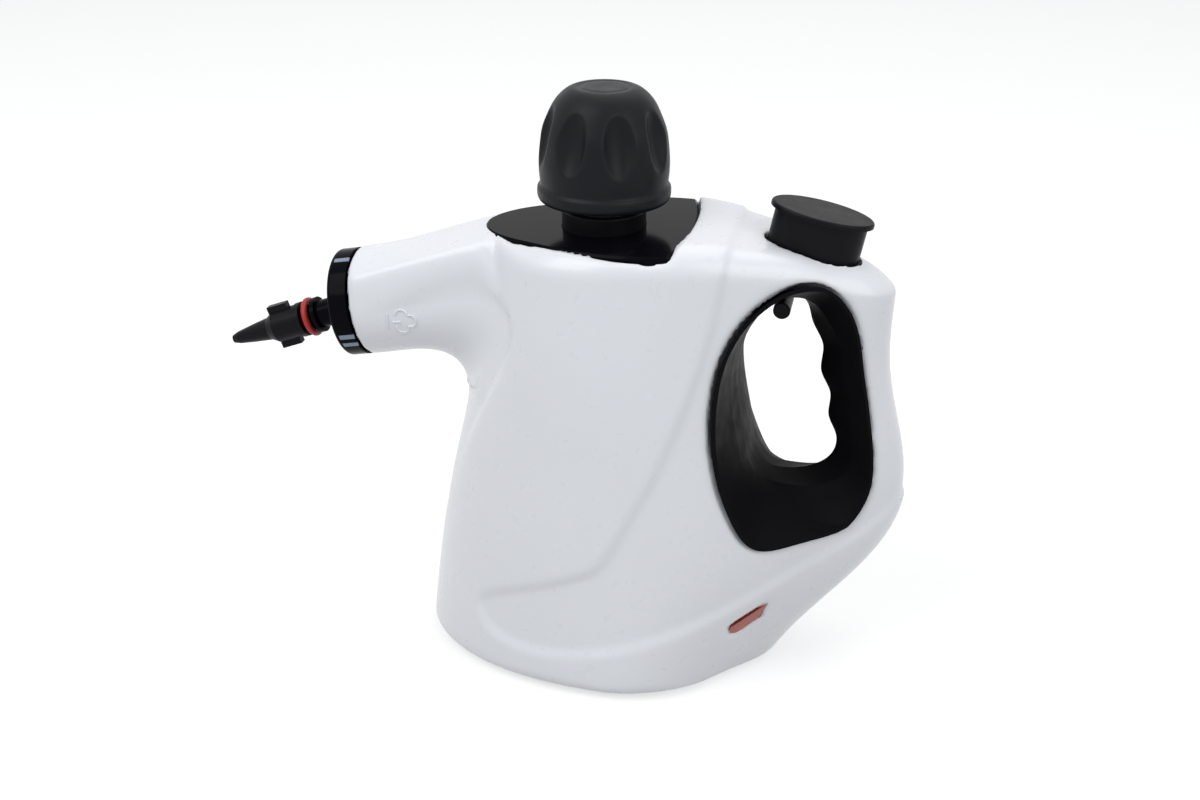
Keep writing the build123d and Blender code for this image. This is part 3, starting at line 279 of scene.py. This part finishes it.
@dataclass
class Studio:
    """Pale floor, soft lamps and the camera of the photograph."""

    camera_place: Place = (0.1374, -0.7019, 0.4368)
    yaw: float = 0.1955
    pitch: float = 0.4185
    roll: float = 0.003
    lens: float = 51.0
    sensor: float = 36.0
    floor_size: float = 8.0
    floor_tone: float = 0.5
    floor_lift: float = 0.62
    sky: float = 0.42
    lamps: tuple[tuple[Place, float, float], ...] = (
        ((-0.9, -0.9, 1.5), 1.3, 15.0),
        ((1.1, -0.8, 1.0), 1.1, 7.0),
        ((0.1, 0.6, 1.8), 1.6, 9.0),
    )
    target: Place = (-0.02, 0.0, 0.12)

    def build(self) -> None:
        """Make the floor, the lamps, the world and the camera."""
        self.add_floor()
        for place, size, power in self.lamps:
            self.add_lamp(Vector(place), size, power)
        self.add_world()
        self.add_camera()
        bpy.context.scene.view_settings.view_transform = "Standard"

    def add_floor(self) -> None:
        """Lay the floor, which the camera sees as white and which keeps the shadow."""
        mesh = bpy.data.meshes.new("studio_floor")
        shape = bmesh.new()
        bmesh.ops.create_grid(shape, x_segments=1, y_segments=1, size=self.floor_size / 2)
        shape.to_mesh(mesh)
        shape.free()
        floor = bpy.data.objects.new("studio_floor", mesh)
        bpy.context.scene.collection.objects.link(floor)
        material = bpy.data.materials.new("studio_floor")
        material.use_nodes = True
        nodes, link = material.node_tree.nodes, material.node_tree.links.new
        nodes.clear()
        lit = nodes.new("ShaderNodeBsdfDiffuse")
        lit.inputs["Color"].default_value = (*[self.floor_tone] * 3, 1.0)
        glow = nodes.new("ShaderNodeEmission")
        glow.inputs["Color"].default_value = (1.0, 1.0, 1.0, 1.0)
        both = nodes.new("ShaderNodeAddShader")
        out = nodes.new("ShaderNodeOutputMaterial")
        strength = nodes.new("ShaderNodeMath")
        strength.operation = "MULTIPLY"
        strength.inputs[1].default_value = self.floor_lift
        link(self.seen_directly(nodes, link), strength.inputs[0])
        link(strength.outputs[0], glow.inputs["Strength"])
        link(lit.outputs[0], both.inputs[0])
        link(glow.outputs[0], both.inputs[1])
        link(both.outputs[0], out.inputs["Surface"])
        mesh.materials.append(material)

    def seen_directly(self, nodes: bpy.types.Nodes, link: Callable) -> bpy.types.NodeSocket:
        """Add nodes that tell rays of the camera, mirrors and glass from rays that light the object.

        Args:
            nodes: Nodes of the material or world.
            link: Its function that joins two sockets.

        Returns:
            A socket that is 1 for the rays that show the background.
        """
        path = nodes.new("ShaderNodeLightPath")
        value = path.outputs["Is Camera Ray"]
        for name in ("Is Glossy Ray", "Is Transmission Ray"):
            larger = nodes.new("ShaderNodeMath")
            larger.operation = "MAXIMUM"
            link(value, larger.inputs[0])
            link(path.outputs[name], larger.inputs[1])
            value = larger.outputs[0]
        return value

    def add_lamp(self, place: Vector, size: float, power: float) -> None:
        """Hang one square soft lamp that looks at the object.

        Args:
            place: Where the lamp hangs.
            size: Length of its side.
            power: Its power in watts.
        """
        light = bpy.data.lights.new("soft_lamp", "AREA")
        light.shape = "SQUARE"
        light.size = size
        light.energy = power
        lamp = bpy.data.objects.new("soft_lamp", light)
        lamp.location = place
        lamp.rotation_euler = (Vector(self.target) - place).to_track_quat("-Z", "Y").to_euler()
        bpy.context.scene.collection.objects.link(lamp)

    def add_world(self) -> None:
        """Surround the object with a soft grey that the camera and reflections see as white."""
        world = bpy.data.worlds.new("studio_world")
        bpy.context.scene.world = world
        world.use_nodes = True
        nodes, link = world.node_tree.nodes, world.node_tree.links.new
        nodes.clear()
        seen = nodes.new("ShaderNodeBackground")
        seen.inputs["Color"].default_value = (1.0, 1.0, 1.0, 1.0)
        seen.inputs["Strength"].default_value = 1.0
        lit = nodes.new("ShaderNodeBackground")
        lit.inputs["Color"].default_value = (0.95, 0.97, 1.0, 1.0)
        lit.inputs["Strength"].default_value = self.sky
        mix = nodes.new("ShaderNodeMixShader")
        out = nodes.new("ShaderNodeOutputWorld")
        link(self.seen_directly(nodes, link), mix.inputs[0])
        link(lit.outputs[0], mix.inputs[1])
        link(seen.outputs[0], mix.inputs[2])
        link(mix.outputs[0], out.inputs["Surface"])

    def add_camera(self) -> None:
        """Place the camera where the photograph was taken from."""
        camera = bpy.data.cameras.new("photo_camera")
        camera.lens = self.lens
        camera.sensor_width = self.sensor
        camera.dof.use_dof = False
        thing = bpy.data.objects.new("photo_camera", camera)
        level = math.cos(self.pitch)
        forward = Vector((-math.sin(self.yaw) * level, math.cos(self.yaw) * level, -math.sin(self.pitch)))
        turn = forward.to_track_quat("-Z", "Y").to_matrix() @ Matrix.Rotation(self.roll, 3, "Z")
        thing.matrix_world = Matrix.Translation(Vector(self.camera_place)) @ turn.to_4x4()
        bpy.context.scene.collection.objects.link(thing)
        bpy.context.scene.camera = thing


@dataclass(frozen=True)
class SideLine:
    """A line on the side of the body, as (x, z) points in millimetres, with its corners eased."""

    points: tuple[tuple[float, float], ...]
    closed: bool = False
    easing_rounds: int = 3

    def in_metres(self) -> np.ndarray:
        """Ease the corners by cutting them and return the points in metres."""
        line = np.array(self.points) * MM
        if self.closed:
            line = np.vstack((line, line[:1]))
        for _ in range(self.easing_rounds):
            near = line[:-1] * 0.75 + line[1:] * 0.25
            far = line[:-1] * 0.25 + line[1:] * 0.75
            eased = np.stack((near, far), axis=1).reshape(-1, 2)
            line = np.vstack((eased, eased[:1]) if self.closed else (line[:1], eased, line[-1:]))
        return line

    def distance(self, spots: np.ndarray) -> np.ndarray:
        """Measure how far each spot lies from the line.

        Args:
            spots: Array of (x, z) places in metres.

        Returns:
            The distances in metres, less than nothing inside a closed line.
        """
        line = self.in_metres()
        best = np.full(len(spots), FAR)
        inside = np.zeros(len(spots), bool)
        for start, end in zip(line[:-1], line[1:]):
            run = end - start
            share = np.clip(((spots - start) @ run) / max(run @ run, 1e-12), 0, 1)
            best = np.minimum(best, np.linalg.norm(spots - (start + share[:, None] * run), axis=1))
            crosses = (start[1] > spots[:, 1]) != (end[1] > spots[:, 1])
            rise = run[1] if abs(run[1]) > 1e-12 else 1e-12
            inside ^= crosses & (spots[:, 0] < run[0] * (spots[:, 1] - start[1]) / rise + start[0])
        return np.where(inside, -best, best) if self.closed else best


def soft_step(value: np.ndarray) -> np.ndarray:
    """Ease a share from 0 to 1.

    Args:
        value: Shares, clipped to 0 and 1.

    Returns:
        The eased shares.
    """
    share = np.clip(value, 0, 1)
    return share * share * (3 - 2 * share)


def unit(rows: np.ndarray) -> np.ndarray:
    """Scale each row to length one.

    Args:
        rows: Array of vectors.

    Returns:
        The unit vectors.
    """
    return rows / np.maximum(np.linalg.norm(rows, axis=1), TINY)[:, None]


def vertex_rows(mesh: bpy.types.Mesh, what: str) -> np.ndarray:
    """Read the places or the normals of a mesh's vertices.

    Args:
        mesh: The mesh.
        what: "co" for places or "normal" for normals.

    Returns:
        One row for each vertex.
    """
    flat = np.zeros(len(mesh.vertices) * 3)
    mesh.vertices.foreach_get(what, flat)
    return flat.reshape(-1, 3)


def fine_copy(nodes: Sequence[bpy.types.Object], name: str, voxel: float, rounds: int) -> bpy.types.Object:
    """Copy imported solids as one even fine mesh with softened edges.

    Args:
        nodes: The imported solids.
        name: Name of the new piece.
        voxel: Size of the new mesh's cells in millimetres.
        rounds: Rounds of smoothing.

    Returns:
        The new object, at the origin.
    """
    shape = bmesh.new()
    for node in nodes:
        shape.from_mesh(node.data)
    bmesh.ops.remove_doubles(shape, verts=shape.verts, dist=WELD)
    rough = bpy.data.meshes.new(name + "_rough")
    shape.to_mesh(rough)
    shape.free()
    source = bpy.data.objects.new(name + "_rough", rough)
    bpy.context.scene.collection.objects.link(source)
    remesh = source.modifiers.new("fine", "REMESH")
    remesh.mode = "VOXEL"
    remesh.voxel_size = voxel * MM
    bpy.context.view_layer.update()
    fine = bpy.data.meshes.new_from_object(source.evaluated_get(bpy.context.evaluated_depsgraph_get()))
    bpy.data.objects.remove(source)
    bpy.data.meshes.remove(rough)
    shape = bmesh.new()
    shape.from_mesh(fine)
    for _ in range(rounds):
        bmesh.ops.smooth_vert(shape, verts=shape.verts, factor=EVEN_SHARE,
                              use_axis_x=True, use_axis_y=True, use_axis_z=True)
    shape.to_mesh(fine)
    shape.free()
    fine.name = name
    fine.polygons.foreach_set("use_smooth", [True] * len(fine.polygons))
    thing = bpy.data.objects.new(name, fine)
    bpy.context.scene.collection.objects.link(thing)
    return thing


class Neighbours:
    """Who is next to whom in a mesh, to average values over the surface."""

    def __init__(self, mesh: bpy.types.Mesh) -> None:
        """Read the mesh's edges.

        Args:
            mesh: The mesh.
        """
        flat = np.zeros(len(mesh.edges) * 2, int)
        mesh.edges.foreach_get("vertices", flat)
        ends = flat.reshape(-1, 2)
        self.here = np.concatenate((ends[:, 0], ends[:, 1]))
        self.there = np.concatenate((ends[:, 1], ends[:, 0]))
        self.size = len(mesh.vertices)
        self.count = np.maximum(np.bincount(self.here, minlength=self.size), 1)

    def average(self, rows: np.ndarray, share: np.ndarray, rounds: int) -> np.ndarray:
        """Pull each row towards the mean of its neighbours.

        Args:
            rows: One vector for each vertex.
            share: How much of the mean each vertex takes.
            rounds: How often.

        Returns:
            The averaged rows.
        """
        rows = rows.copy()
        active = share[self.here] > 0
        here, there = self.here[active], self.there[active]
        for _ in range(rounds):
            mean = np.stack([np.bincount(here, rows[there, axis], self.size) for axis in range(3)], axis=1)
            mean /= self.count[:, None]
            rows = np.where(share[:, None] > 0, rows + share[:, None] * (mean - rows), rows)
        return rows


@dataclass
class SolidSkin:
    """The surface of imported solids, to look up places and true normals on it."""

    nodes: Sequence[bpy.types.Object]

    def __post_init__(self) -> None:
        """Build the search tree over the solids' triangles."""
        places, corners, normals = [], [], []
        for node in self.nodes:
            mesh = node.data
            mesh.calc_loop_triangles()
            corners += [np.array([tri.vertices[:] for tri in mesh.loop_triangles]) + sum(map(len, places))]
            places += [vertex_rows(mesh, "co")]
            flat = np.zeros(len(mesh.loops) * 3)
            mesh.corner_normals.foreach_get("vector", flat)
            normals += [flat.reshape(-1, 3)[np.array([tri.loops[:] for tri in mesh.loop_triangles])]]
        self.places, self.corners, self.normals = map(np.concatenate, (places, corners, normals))
        self.tree = BVHTree.FromPolygons(self.places.tolist(), self.corners.tolist())

    def nearest(self, spots: np.ndarray, reach: float) -> tuple[np.ndarray, np.ndarray, np.ndarray]:
        """Look up the nearest point of the solid to each spot.

        Args:
            spots: Places to look from.
            reach: How far to look.

        Returns:
            The found points, the triangle of each (less than nothing where none is in reach) and its
            distance.
        """
        points = np.array(spots)
        faces = np.full(len(spots), -1)
        gaps = np.full(len(spots), reach)
        for row, spot in enumerate(spots):
            point, _, face, gap = self.tree.find_nearest(spot, reach)
            if point is not None:
                points[row], faces[row], gaps[row] = point, face, gap
        return points, faces, gaps

    def true_normals(self, spots: np.ndarray, fallback: np.ndarray) -> np.ndarray:
        """Read the solid's smooth normal nearest to each spot.

        Args:
            spots: Places to look from.
            fallback: Normals to keep near sharp edges.

        Returns:
            One unit normal for each spot.
        """
        points, faces, _ = self.nearest(spots, NEAR)
        corner = self.places[self.corners[faces]]
        edge_a, edge_b, to = corner[:, 1] - corner[:, 0], corner[:, 2] - corner[:, 0], points - corner[:, 0]
        aa, ab, bb = (edge_a * edge_a).sum(1), (edge_a * edge_b).sum(1), (edge_b * edge_b).sum(1)
        ta, tb = (to * edge_a).sum(1), (to * edge_b).sum(1)
        whole = np.maximum(aa * bb - ab * ab, 1e-18)
        second, third = (bb * ta - ab * tb) / whole, (aa * tb - ab * ta) / whole
        weight = np.stack((1 - second - third, second, third), axis=1).clip(0, 1)
        smooth = unit((self.normals[faces] * weight[:, :, None]).sum(axis=1))
        sure = (faces >= 0) & ((smooth * fallback).sum(axis=1) > SURE_TURN)
        return np.where(sure[:, None], smooth, fallback)


@dataclass
class MouldedSkin:
    """A fine copy of the two body shells whose skin takes the mould's soft forms."""

    nodes: Sequence[bpy.types.Object]
    neighbours: Sequence[bpy.types.Object]
    deck: bpy.types.Object
    voxel: float = 1.2
    smooth_rounds: int = 3
    even_rounds: int = 5
    shading_rounds: int = 8
    handle_half: SideLine = SideLine((
        (58.8, 200.0), (56.0, 178.0), (47.5, 146.0), (33.5, 108.5), (24.0, 91.0), (15.0, 72.5),
        (9.0, 63.5), (-1.0, 58.5), (-20.8, 50.5), (-44.0, 40.5), (-49.0, 34.5), (-47.0, 27.0),
        (-38.8, 20.8), (-20.0, 19.0), (6.0, 22.5), (30.9, 29.4), (58.1, 39.5), (78.0, 49.2),
        (97.8, 59.9), (121.4, 73.5), (160.0, 102.0), (175.0, 230.0), (62.0, 230.0)), closed=True)
    step_depth: float = 1.5
    step_width: float = 3.6
    scoop: SideLine = SideLine((
        (-108.0, 164.6), (-90.0, 169.8), (-70.7, 176.5), (-52.2, 180.9), (-40.6, 178.7), (-32.7, 172.7),
        (-30.8, 165.1), (-33.3, 151.8), (-41.4, 134.9), (-49.0, 121.3), (-60.6, 93.1), (-64.6, 76.4),
        (-66.0, 60.0), (-130.0, 60.0), (-130.0, 160.0)), closed=True)
    scoop_depth: float = 2.2
    scoop_lip: float = 5.0
    scoop_fade: float = 34.0
    scoop_low: float = 70.0
    scoop_low_run: float = 60.0
    scoop_front: float = -112.0
    scoop_front_run: float = 35.0
    blend_rounds: int = 120
    blend_front: float = -106.0
    blend_edge: float = 6.0
    fade_run: float = 25.0
    turn_kept: float = 0.05
    turn_span: float = 0.12
    carry_reach: float = 9.0
    least_move: float = 0.5
    base_round: float = 7.0
    base_low: float = 2.0
    base_least: float = 30.0
    spine_front: float = -30.0
    spine_rear: float = 95.0
    barrel_height: float = 179.6
    barrel_slope: float = 0.2
    barrel_rear: float = -50.0
    barrel_low: float = 125.0
    neighbour_reach: float = 2.6
    neighbour_sink: float = 0.7
    neighbour_steep: float = 1.4
    outward_from: float = 0.05
    outward_span: float = 0.3
    crown_low: float = 188.0
    crown_upward: float = 0.3
    deck_height: float = 203.5
    deck_rise: float = 0.034
    deck_lip: float = 0.7
    ramp_slope: float = 0.34
    ramp_round: float = 2.0
    ramp_rear: float = -20.0
    ramp_inside: float = 2.0
    ramp_low: float = 165.0
    upward_from: float = 0.15
    upward_span: float = 0.5

    def build(self, names: tuple[str, str]) -> list[bpy.types.Object]:
        """Make the fine copy, press its forms in, keep the solids' smooth shading and part it at the seam.

        Args:
            names: Names of the near and the far piece.

        Returns:
            The two new objects, at the origin.
        """
        thing = fine_copy(self.nodes, "body_skin", self.voxel, self.smooth_rounds)
        mesh = thing.data
        around = Neighbours(mesh)
        solid = SolidSkin(self.nodes)
        place = vertex_rows(mesh, "co")
        outer = self.outer_share(place, vertex_rows(mesh, "normal"))
        place += outer[:, None] * (solid.nearest(place, NEAR)[0] - place)
        place = around.average(place, EVEN_SHARE * outer, self.even_rounds)
        mesh.vertices.foreach_set("co", place.reshape(-1))
        mesh.update()
        before = vertex_rows(mesh, "normal")
        smooth = solid.true_normals(place, before)
        start = place.copy()
        blend = outer * soft_step(-self.scoop.distance(place[:, [0, 2]]) / (self.blend_edge * MM) + 0.5)
        blend *= soft_step((place[:, 0] - self.blend_front * MM) / (self.fade_run * MM))
        place = around.average(place, EVEN_SHARE * blend, self.blend_rounds)
        side = place[:, [0, 2]]
        depth = self.step_in(side) + self.scoop_in(side) + self.sink_in(place)
        place -= smooth * (outer * depth)[:, None]
        self.ramp_to_deck(place, outer * soft_step((smooth[:, 2] - self.upward_from) / self.upward_span))
        self.carry_inside(start, place, outer)
        self.round_base(place)
        mesh.vertices.foreach_set("co", place.reshape(-1))
        mesh.update()
        after = vertex_rows(mesh, "normal")
        change = np.linalg.norm(after - before, axis=1)
        keep = (1 - soft_step((change - self.turn_kept) / self.turn_span))[:, None]
        shares = np.full(len(place), EVEN_SHARE)
        normal = around.average(unit(after + keep * (smooth - before)), shares, self.shading_rounds)
        kept = mesh.attributes.new(SHADING, "FLOAT_VECTOR", "POINT")
        kept.data.foreach_set("vector", unit(normal).reshape(-1))
        self.thin_inside(thing, outer)
        return self.part(thing, names)

    def part(self, thing: bpy.types.Object, names: tuple[str, str]) -> list[bpy.types.Object]:
        """Part the skin at the seam plane.

        Args:
            thing: The whole skin, which is removed.
            names: Names of the near and the far piece.

        Returns:
            The two new objects.
        """
        pieces = []
        for name, side in zip(names, (-1, 1)):
            shape = bmesh.new()
            shape.from_mesh(thing.data)
            away = [face for face in shape.faces if face.calc_center_median().y * side < 0]
            bmesh.ops.delete(shape, geom=away, context="FACES")
            mesh = bpy.data.meshes.new(name)
            shape.to_mesh(mesh)
            shape.free()
            flat = np.zeros(len(mesh.vertices) * 3)
            mesh.attributes[SHADING].data.foreach_get("vector", flat)
            mesh.attributes.remove(mesh.attributes[SHADING])
            mesh.normals_split_custom_set_from_vertices(unit(flat.reshape(-1, 3)).tolist())
            piece = bpy.data.objects.new(name, mesh)
            bpy.context.scene.collection.objects.link(piece)
            pieces.append(piece)
        whole = thing.data
        bpy.data.objects.remove(thing)
        bpy.data.meshes.remove(whole)
        return pieces

    def carry_inside(self, start: np.ndarray, place: np.ndarray, outer: np.ndarray) -> None:
        """Move the inner walls with the outer skin in front of them, so that the wall stays whole.

        Args:
            start: Vertex places before the forms were pressed in.
            place: Vertex places, changed in place.
            outer: How far each vertex belongs to the outer skin.
        """
        skin = np.flatnonzero((outer > 0.5) & (np.linalg.norm(place - start, axis=1) > self.least_move * MM))
        tree = KDTree(len(skin))
        for row in skin:
            tree.insert(start[row], row)
        tree.balance()
        for row in np.flatnonzero(outer <= 0.5):
            spot, nearest, gap = tree.find(start[row])
            if spot is not None and gap < self.carry_reach * MM:
                share = soft_step(2 * (1 - gap / (self.carry_reach * MM)))
                place[row] += share * (1 - outer[row]) * (place[nearest] - start[nearest])

    def ramp_to_deck(self, place: np.ndarray, outer: np.ndarray) -> None:
        """Lead the skin up to the edge of the deck plate.

        Args:
            place: Vertex places, changed in place.
            outer: How far each vertex belongs to the outer skin.
        """
        flat = [Vector(spot[:2]) for spot in vertex_rows(self.deck.data, "co")]
        rim = [flat[index] / MM for index in convex_hull_2d(flat)]
        outline = SideLine(tuple((spot.x, spot.y) for spot in rim), closed=True, easing_rounds=0)
        gap = outline.distance(place[:, :2])
        top = (self.deck_height - self.deck_lip) * MM + self.deck_rise * place[:, 0]
        ramp = top - self.ramp_slope * np.maximum(gap, 0)
        soft = self.ramp_round * MM
        lift = soft * np.log1p(np.exp(np.clip((ramp - place[:, 2]) / soft, -30, 30)))
        lift *= outer * soft_step((self.ramp_rear * MM - place[:, 0]) / (self.fade_run * MM))
        near = (gap > -self.ramp_inside * MM) & (place[:, 2] > self.ramp_low * MM)
        place[near, 2] += lift[near]

    def outer_share(self, place: np.ndarray, normal: np.ndarray) -> np.ndarray:
        """Tell how far each vertex belongs to the outer skin.

        Args:
            place: Vertex places.
            normal: Vertex normals.

        Returns:
            Shares from 0 to 1.
        """
        spine = np.clip(place[:, 0], self.spine_front * MM, self.spine_rear * MM)
        away = unit(np.column_stack((place[:, 0] - spine, place[:, 1], np.zeros(len(place)))))
        axis = self.barrel_height * MM + self.barrel_slope * place[:, 0]
        around_axis = unit(np.column_stack((np.zeros(len(place)), place[:, 1], place[:, 2] - axis)))
        barrel = (place[:, 0] < self.barrel_rear * MM) & (place[:, 2] > self.barrel_low * MM)
        away = np.where(barrel[:, None], around_axis, away)
        crown = (place[:, 2] > self.crown_low * MM) & (normal[:, 2] > self.crown_upward)
        facing = (away * normal).sum(axis=1)
        return np.where(crown, 1.0, soft_step((facing - self.outward_from) / self.outward_span))

    def thin_inside(self, thing: bpy.types.Object, share: np.ndarray) -> None:
        """Coarsen the unseen inner walls.

        Args:
            thing: The fine copy, whose mesh is changed.
            share: How far each vertex belongs to the outer skin.
        """
        mesh = thing.data
        inner = thing.vertex_groups.new(name="inside")
        inner.add(np.flatnonzero(share <= 0).tolist(), 1.0, "REPLACE")
        thin = thing.modifiers.new("thin", "DECIMATE")
        thin.ratio = INSIDE_KEPT
        thin.vertex_group = inner.name
        bpy.context.view_layer.update()
        thinned = thing.evaluated_get(bpy.context.evaluated_depsgraph_get())
        thing.data = bpy.data.meshes.new_from_object(thinned)
        thing.modifiers.remove(thin)
        thing.vertex_groups.clear()
        bpy.data.meshes.remove(mesh)
        thing.data.name = thing.name

    def step_in(self, side: np.ndarray) -> np.ndarray:
        """Depth of the step at each spot: the handle half lies behind the front half.

        Args:
            side: Array of (x, z) places.

        Returns:
            Depths in metres.
        """
        gap = -self.handle_half.distance(side)
        return self.step_depth * MM * soft_step(gap / (self.step_width * MM) + 0.5)

    def scoop_in(self, side: np.ndarray) -> np.ndarray:
        """Depth of the scoop under the barrel, deepest near its rear rim and fading to the front.

        Args:
            side: Array of (x, z) places.

        Returns:
            Depths in metres.
        """
        gap = np.maximum(-self.scoop.distance(side), 0.0)
        low = soft_step((side[:, 1] - self.scoop_low * MM) / (self.scoop_low_run * MM))
        front = soft_step((side[:, 0] - self.scoop_front * MM) / (self.scoop_front_run * MM))
        fade = np.exp(-gap / (self.scoop_fade * MM))
        return self.scoop_depth * MM * soft_step(gap / (self.scoop_lip * MM)) * fade * low * front

    def sink_in(self, place: np.ndarray) -> np.ndarray:
        """Depth of the fine gap around the pieces set into the skin.

        Args:
            place: Vertex places.

        Returns:
            Depths in metres.
        """
        reach = self.neighbour_reach * MM
        gaps = SolidSkin(self.neighbours).nearest(place, reach)[2]
        return self.neighbour_sink * MM * soft_step(self.neighbour_steep * (1 - gaps / reach))

    def round_base(self, place: np.ndarray) -> None:
        """Round the lower edge of the skin, by a circle in each upright section.

        Args:
            place: Vertex places, changed in place.
        """
        near = place[:, 2] < (self.base_low + 2 * self.base_round) * MM
        spot = place[near]
        reach = np.linalg.norm(spot[:, :2], axis=1)
        turn = np.degrees(np.arctan2(spot[:, 1], spot[:, 0])) % 360
        sector = np.round(turn / SECTOR).astype(int) % SECTORS
        rim = np.zeros(SECTORS)
        np.maximum.at(rim, sector, reach)
        known = np.flatnonzero(rim > self.base_least * MM)
        rim = np.interp(np.arange(SECTORS), known, rim[known], period=SECTORS)
        radius = self.base_round * MM
        into = radius - (np.interp(turn / SECTOR, np.arange(SECTORS), rim, period=SECTORS) - reach)
        down = radius - (spot[:, 2] - self.base_low * MM)
        far = np.hypot(into, down)
        move = (into > 0) & (down > 0) & (far > radius)
        scale = np.where(move, radius / np.maximum(far, 1e-9), 1.0)
        shift = np.where(move, into * (1 - scale), 0.0)
        spot[:, :2] -= spot[:, :2] / np.maximum(reach, 1e-6)[:, None] * shift[:, None]
        spot[:, 2] += np.where(move, down * (1 - scale), 0.0)
        place[near] = spot


@dataclass
class SteamSign:
    """A plain outline of a puff of steam that leaves a nozzle, raised on the barrel."""

    bars: tuple[tuple[tuple[float, float], ...], ...] = (
        ((-93.9, 163.0), (-94.1, 155.6)),
        ((-91.8, 159.2), (-88.0, 159.5)),
    )
    puffs: tuple[tuple[float, float, float, float, float], ...] = (
        (-87.6, 162.4, 2.9, 185.0, 20.0),
        (-83.4, 160.2, 2.8, 118.0, -112.0),
        (-87.2, 157.0, 2.9, 5.0, -180.0),
    )
    puff_steps: int = 14
    line_radius: float = 0.40
    rise: float = 0.32
    spacing: float = 0.4
    cast_from: float = -200.0

    def cloud(self) -> tuple[tuple[float, float], ...]:
        """Walk round the puffs, each an arc about its own centre."""
        spots = []
        for across, up, radius, first, last in self.puffs:
            for turn in np.radians(np.linspace(first, last, self.puff_steps)):
                spots.append((across + radius * np.cos(turn), up + radius * np.sin(turn)))
        return tuple(spots)

    def build(self, skin: bpy.types.Object) -> bpy.types.Object:
        """Lay the strokes on the skin of the near shell.

        Args:
            skin: The shell that carries them.

        Returns:
            The raised strokes as one mesh object.
        """
        tree = BVHTree.FromObject(skin, bpy.context.evaluated_depsgraph_get())
        curve = bpy.data.curves.new("steam_sign", "CURVE")
        curve.dimensions = "3D"
        curve.bevel_depth = self.line_radius * MM
        curve.bevel_resolution = 3
        curve.use_fill_caps = True
        for stroke in (*self.bars, self.cloud()):
            line = SideLine(stroke, easing_rounds=0).in_metres()
            walked = np.concatenate(([0.0], np.cumsum(np.linalg.norm(np.diff(line, axis=0), axis=1))))
            stops = np.linspace(0, walked[-1], int(walked[-1] / (self.spacing * MM)) + 2)
            spline = curve.splines.new("POLY")
            spline.points.add(len(stops) - 1)
            for point, stop in zip(spline.points, stops):
                x, z = np.interp(stop, walked, line[:, 0]), np.interp(stop, walked, line[:, 1])
                hit = tree.ray_cast(Vector((x, self.cast_from * MM, z)), Vector((0, 1, 0)))[0]
                point.co = (hit.x, hit.y - self.rise * MM, hit.z, 1.0)
        drawn = bpy.data.objects.new("steam_sign_line", curve)
        bpy.context.scene.collection.objects.link(drawn)
        bpy.context.view_layer.update()
        mesh = bpy.data.meshes.new_from_object(drawn.evaluated_get(bpy.context.evaluated_depsgraph_get()))
        bpy.data.objects.remove(drawn)
        mesh.polygons.foreach_set("use_smooth", [True] * len(mesh.polygons))
        sign = bpy.data.objects.new("steam_sign", mesh)
        bpy.context.scene.collection.objects.link(sign)
        return sign


def main() -> None:
    """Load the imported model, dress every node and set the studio."""
    logging.basicConfig(level=logging.INFO)
    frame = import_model()
    paint = Paintbox()
    for name, node in frame["nodes"].items():
        paint.dress(node, finish_of(name))
        LOG.info("dressed %s", name)
    nodes = frame["nodes"]
    set_in = [nodes[name] for name in ("deck_plate", "indicator_lens", "nozzle_collar", "grip_liner_left",
                                       "grip_liner_right")]
    shells = [nodes["left_shell"], nodes["right_shell"]]
    skins = MouldedSkin(shells, set_in, nodes["deck_plate"]).build(("left_skin", "right_skin"))
    for shell, skin in zip(shells, skins):
        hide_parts(shell.name)
    sign = SteamSign().build(skins[0])
    for piece in (*skins, sign):
        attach(piece, "main_body")
        paint.dress(piece, WHITE_SHELL)
        LOG.info("moulded %s with %d faces", piece.name, len(piece.data.polygons))
    cover = fine_copy([nodes["cap_cover"]], "cap_grip", voxel=0.6, rounds=6)
    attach(cover, "cap_outer")
    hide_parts("cap_cover")
    paint.dress(cover, CAP_BLACK)
    Studio().build()


if __name__ == "__main__":
    main()
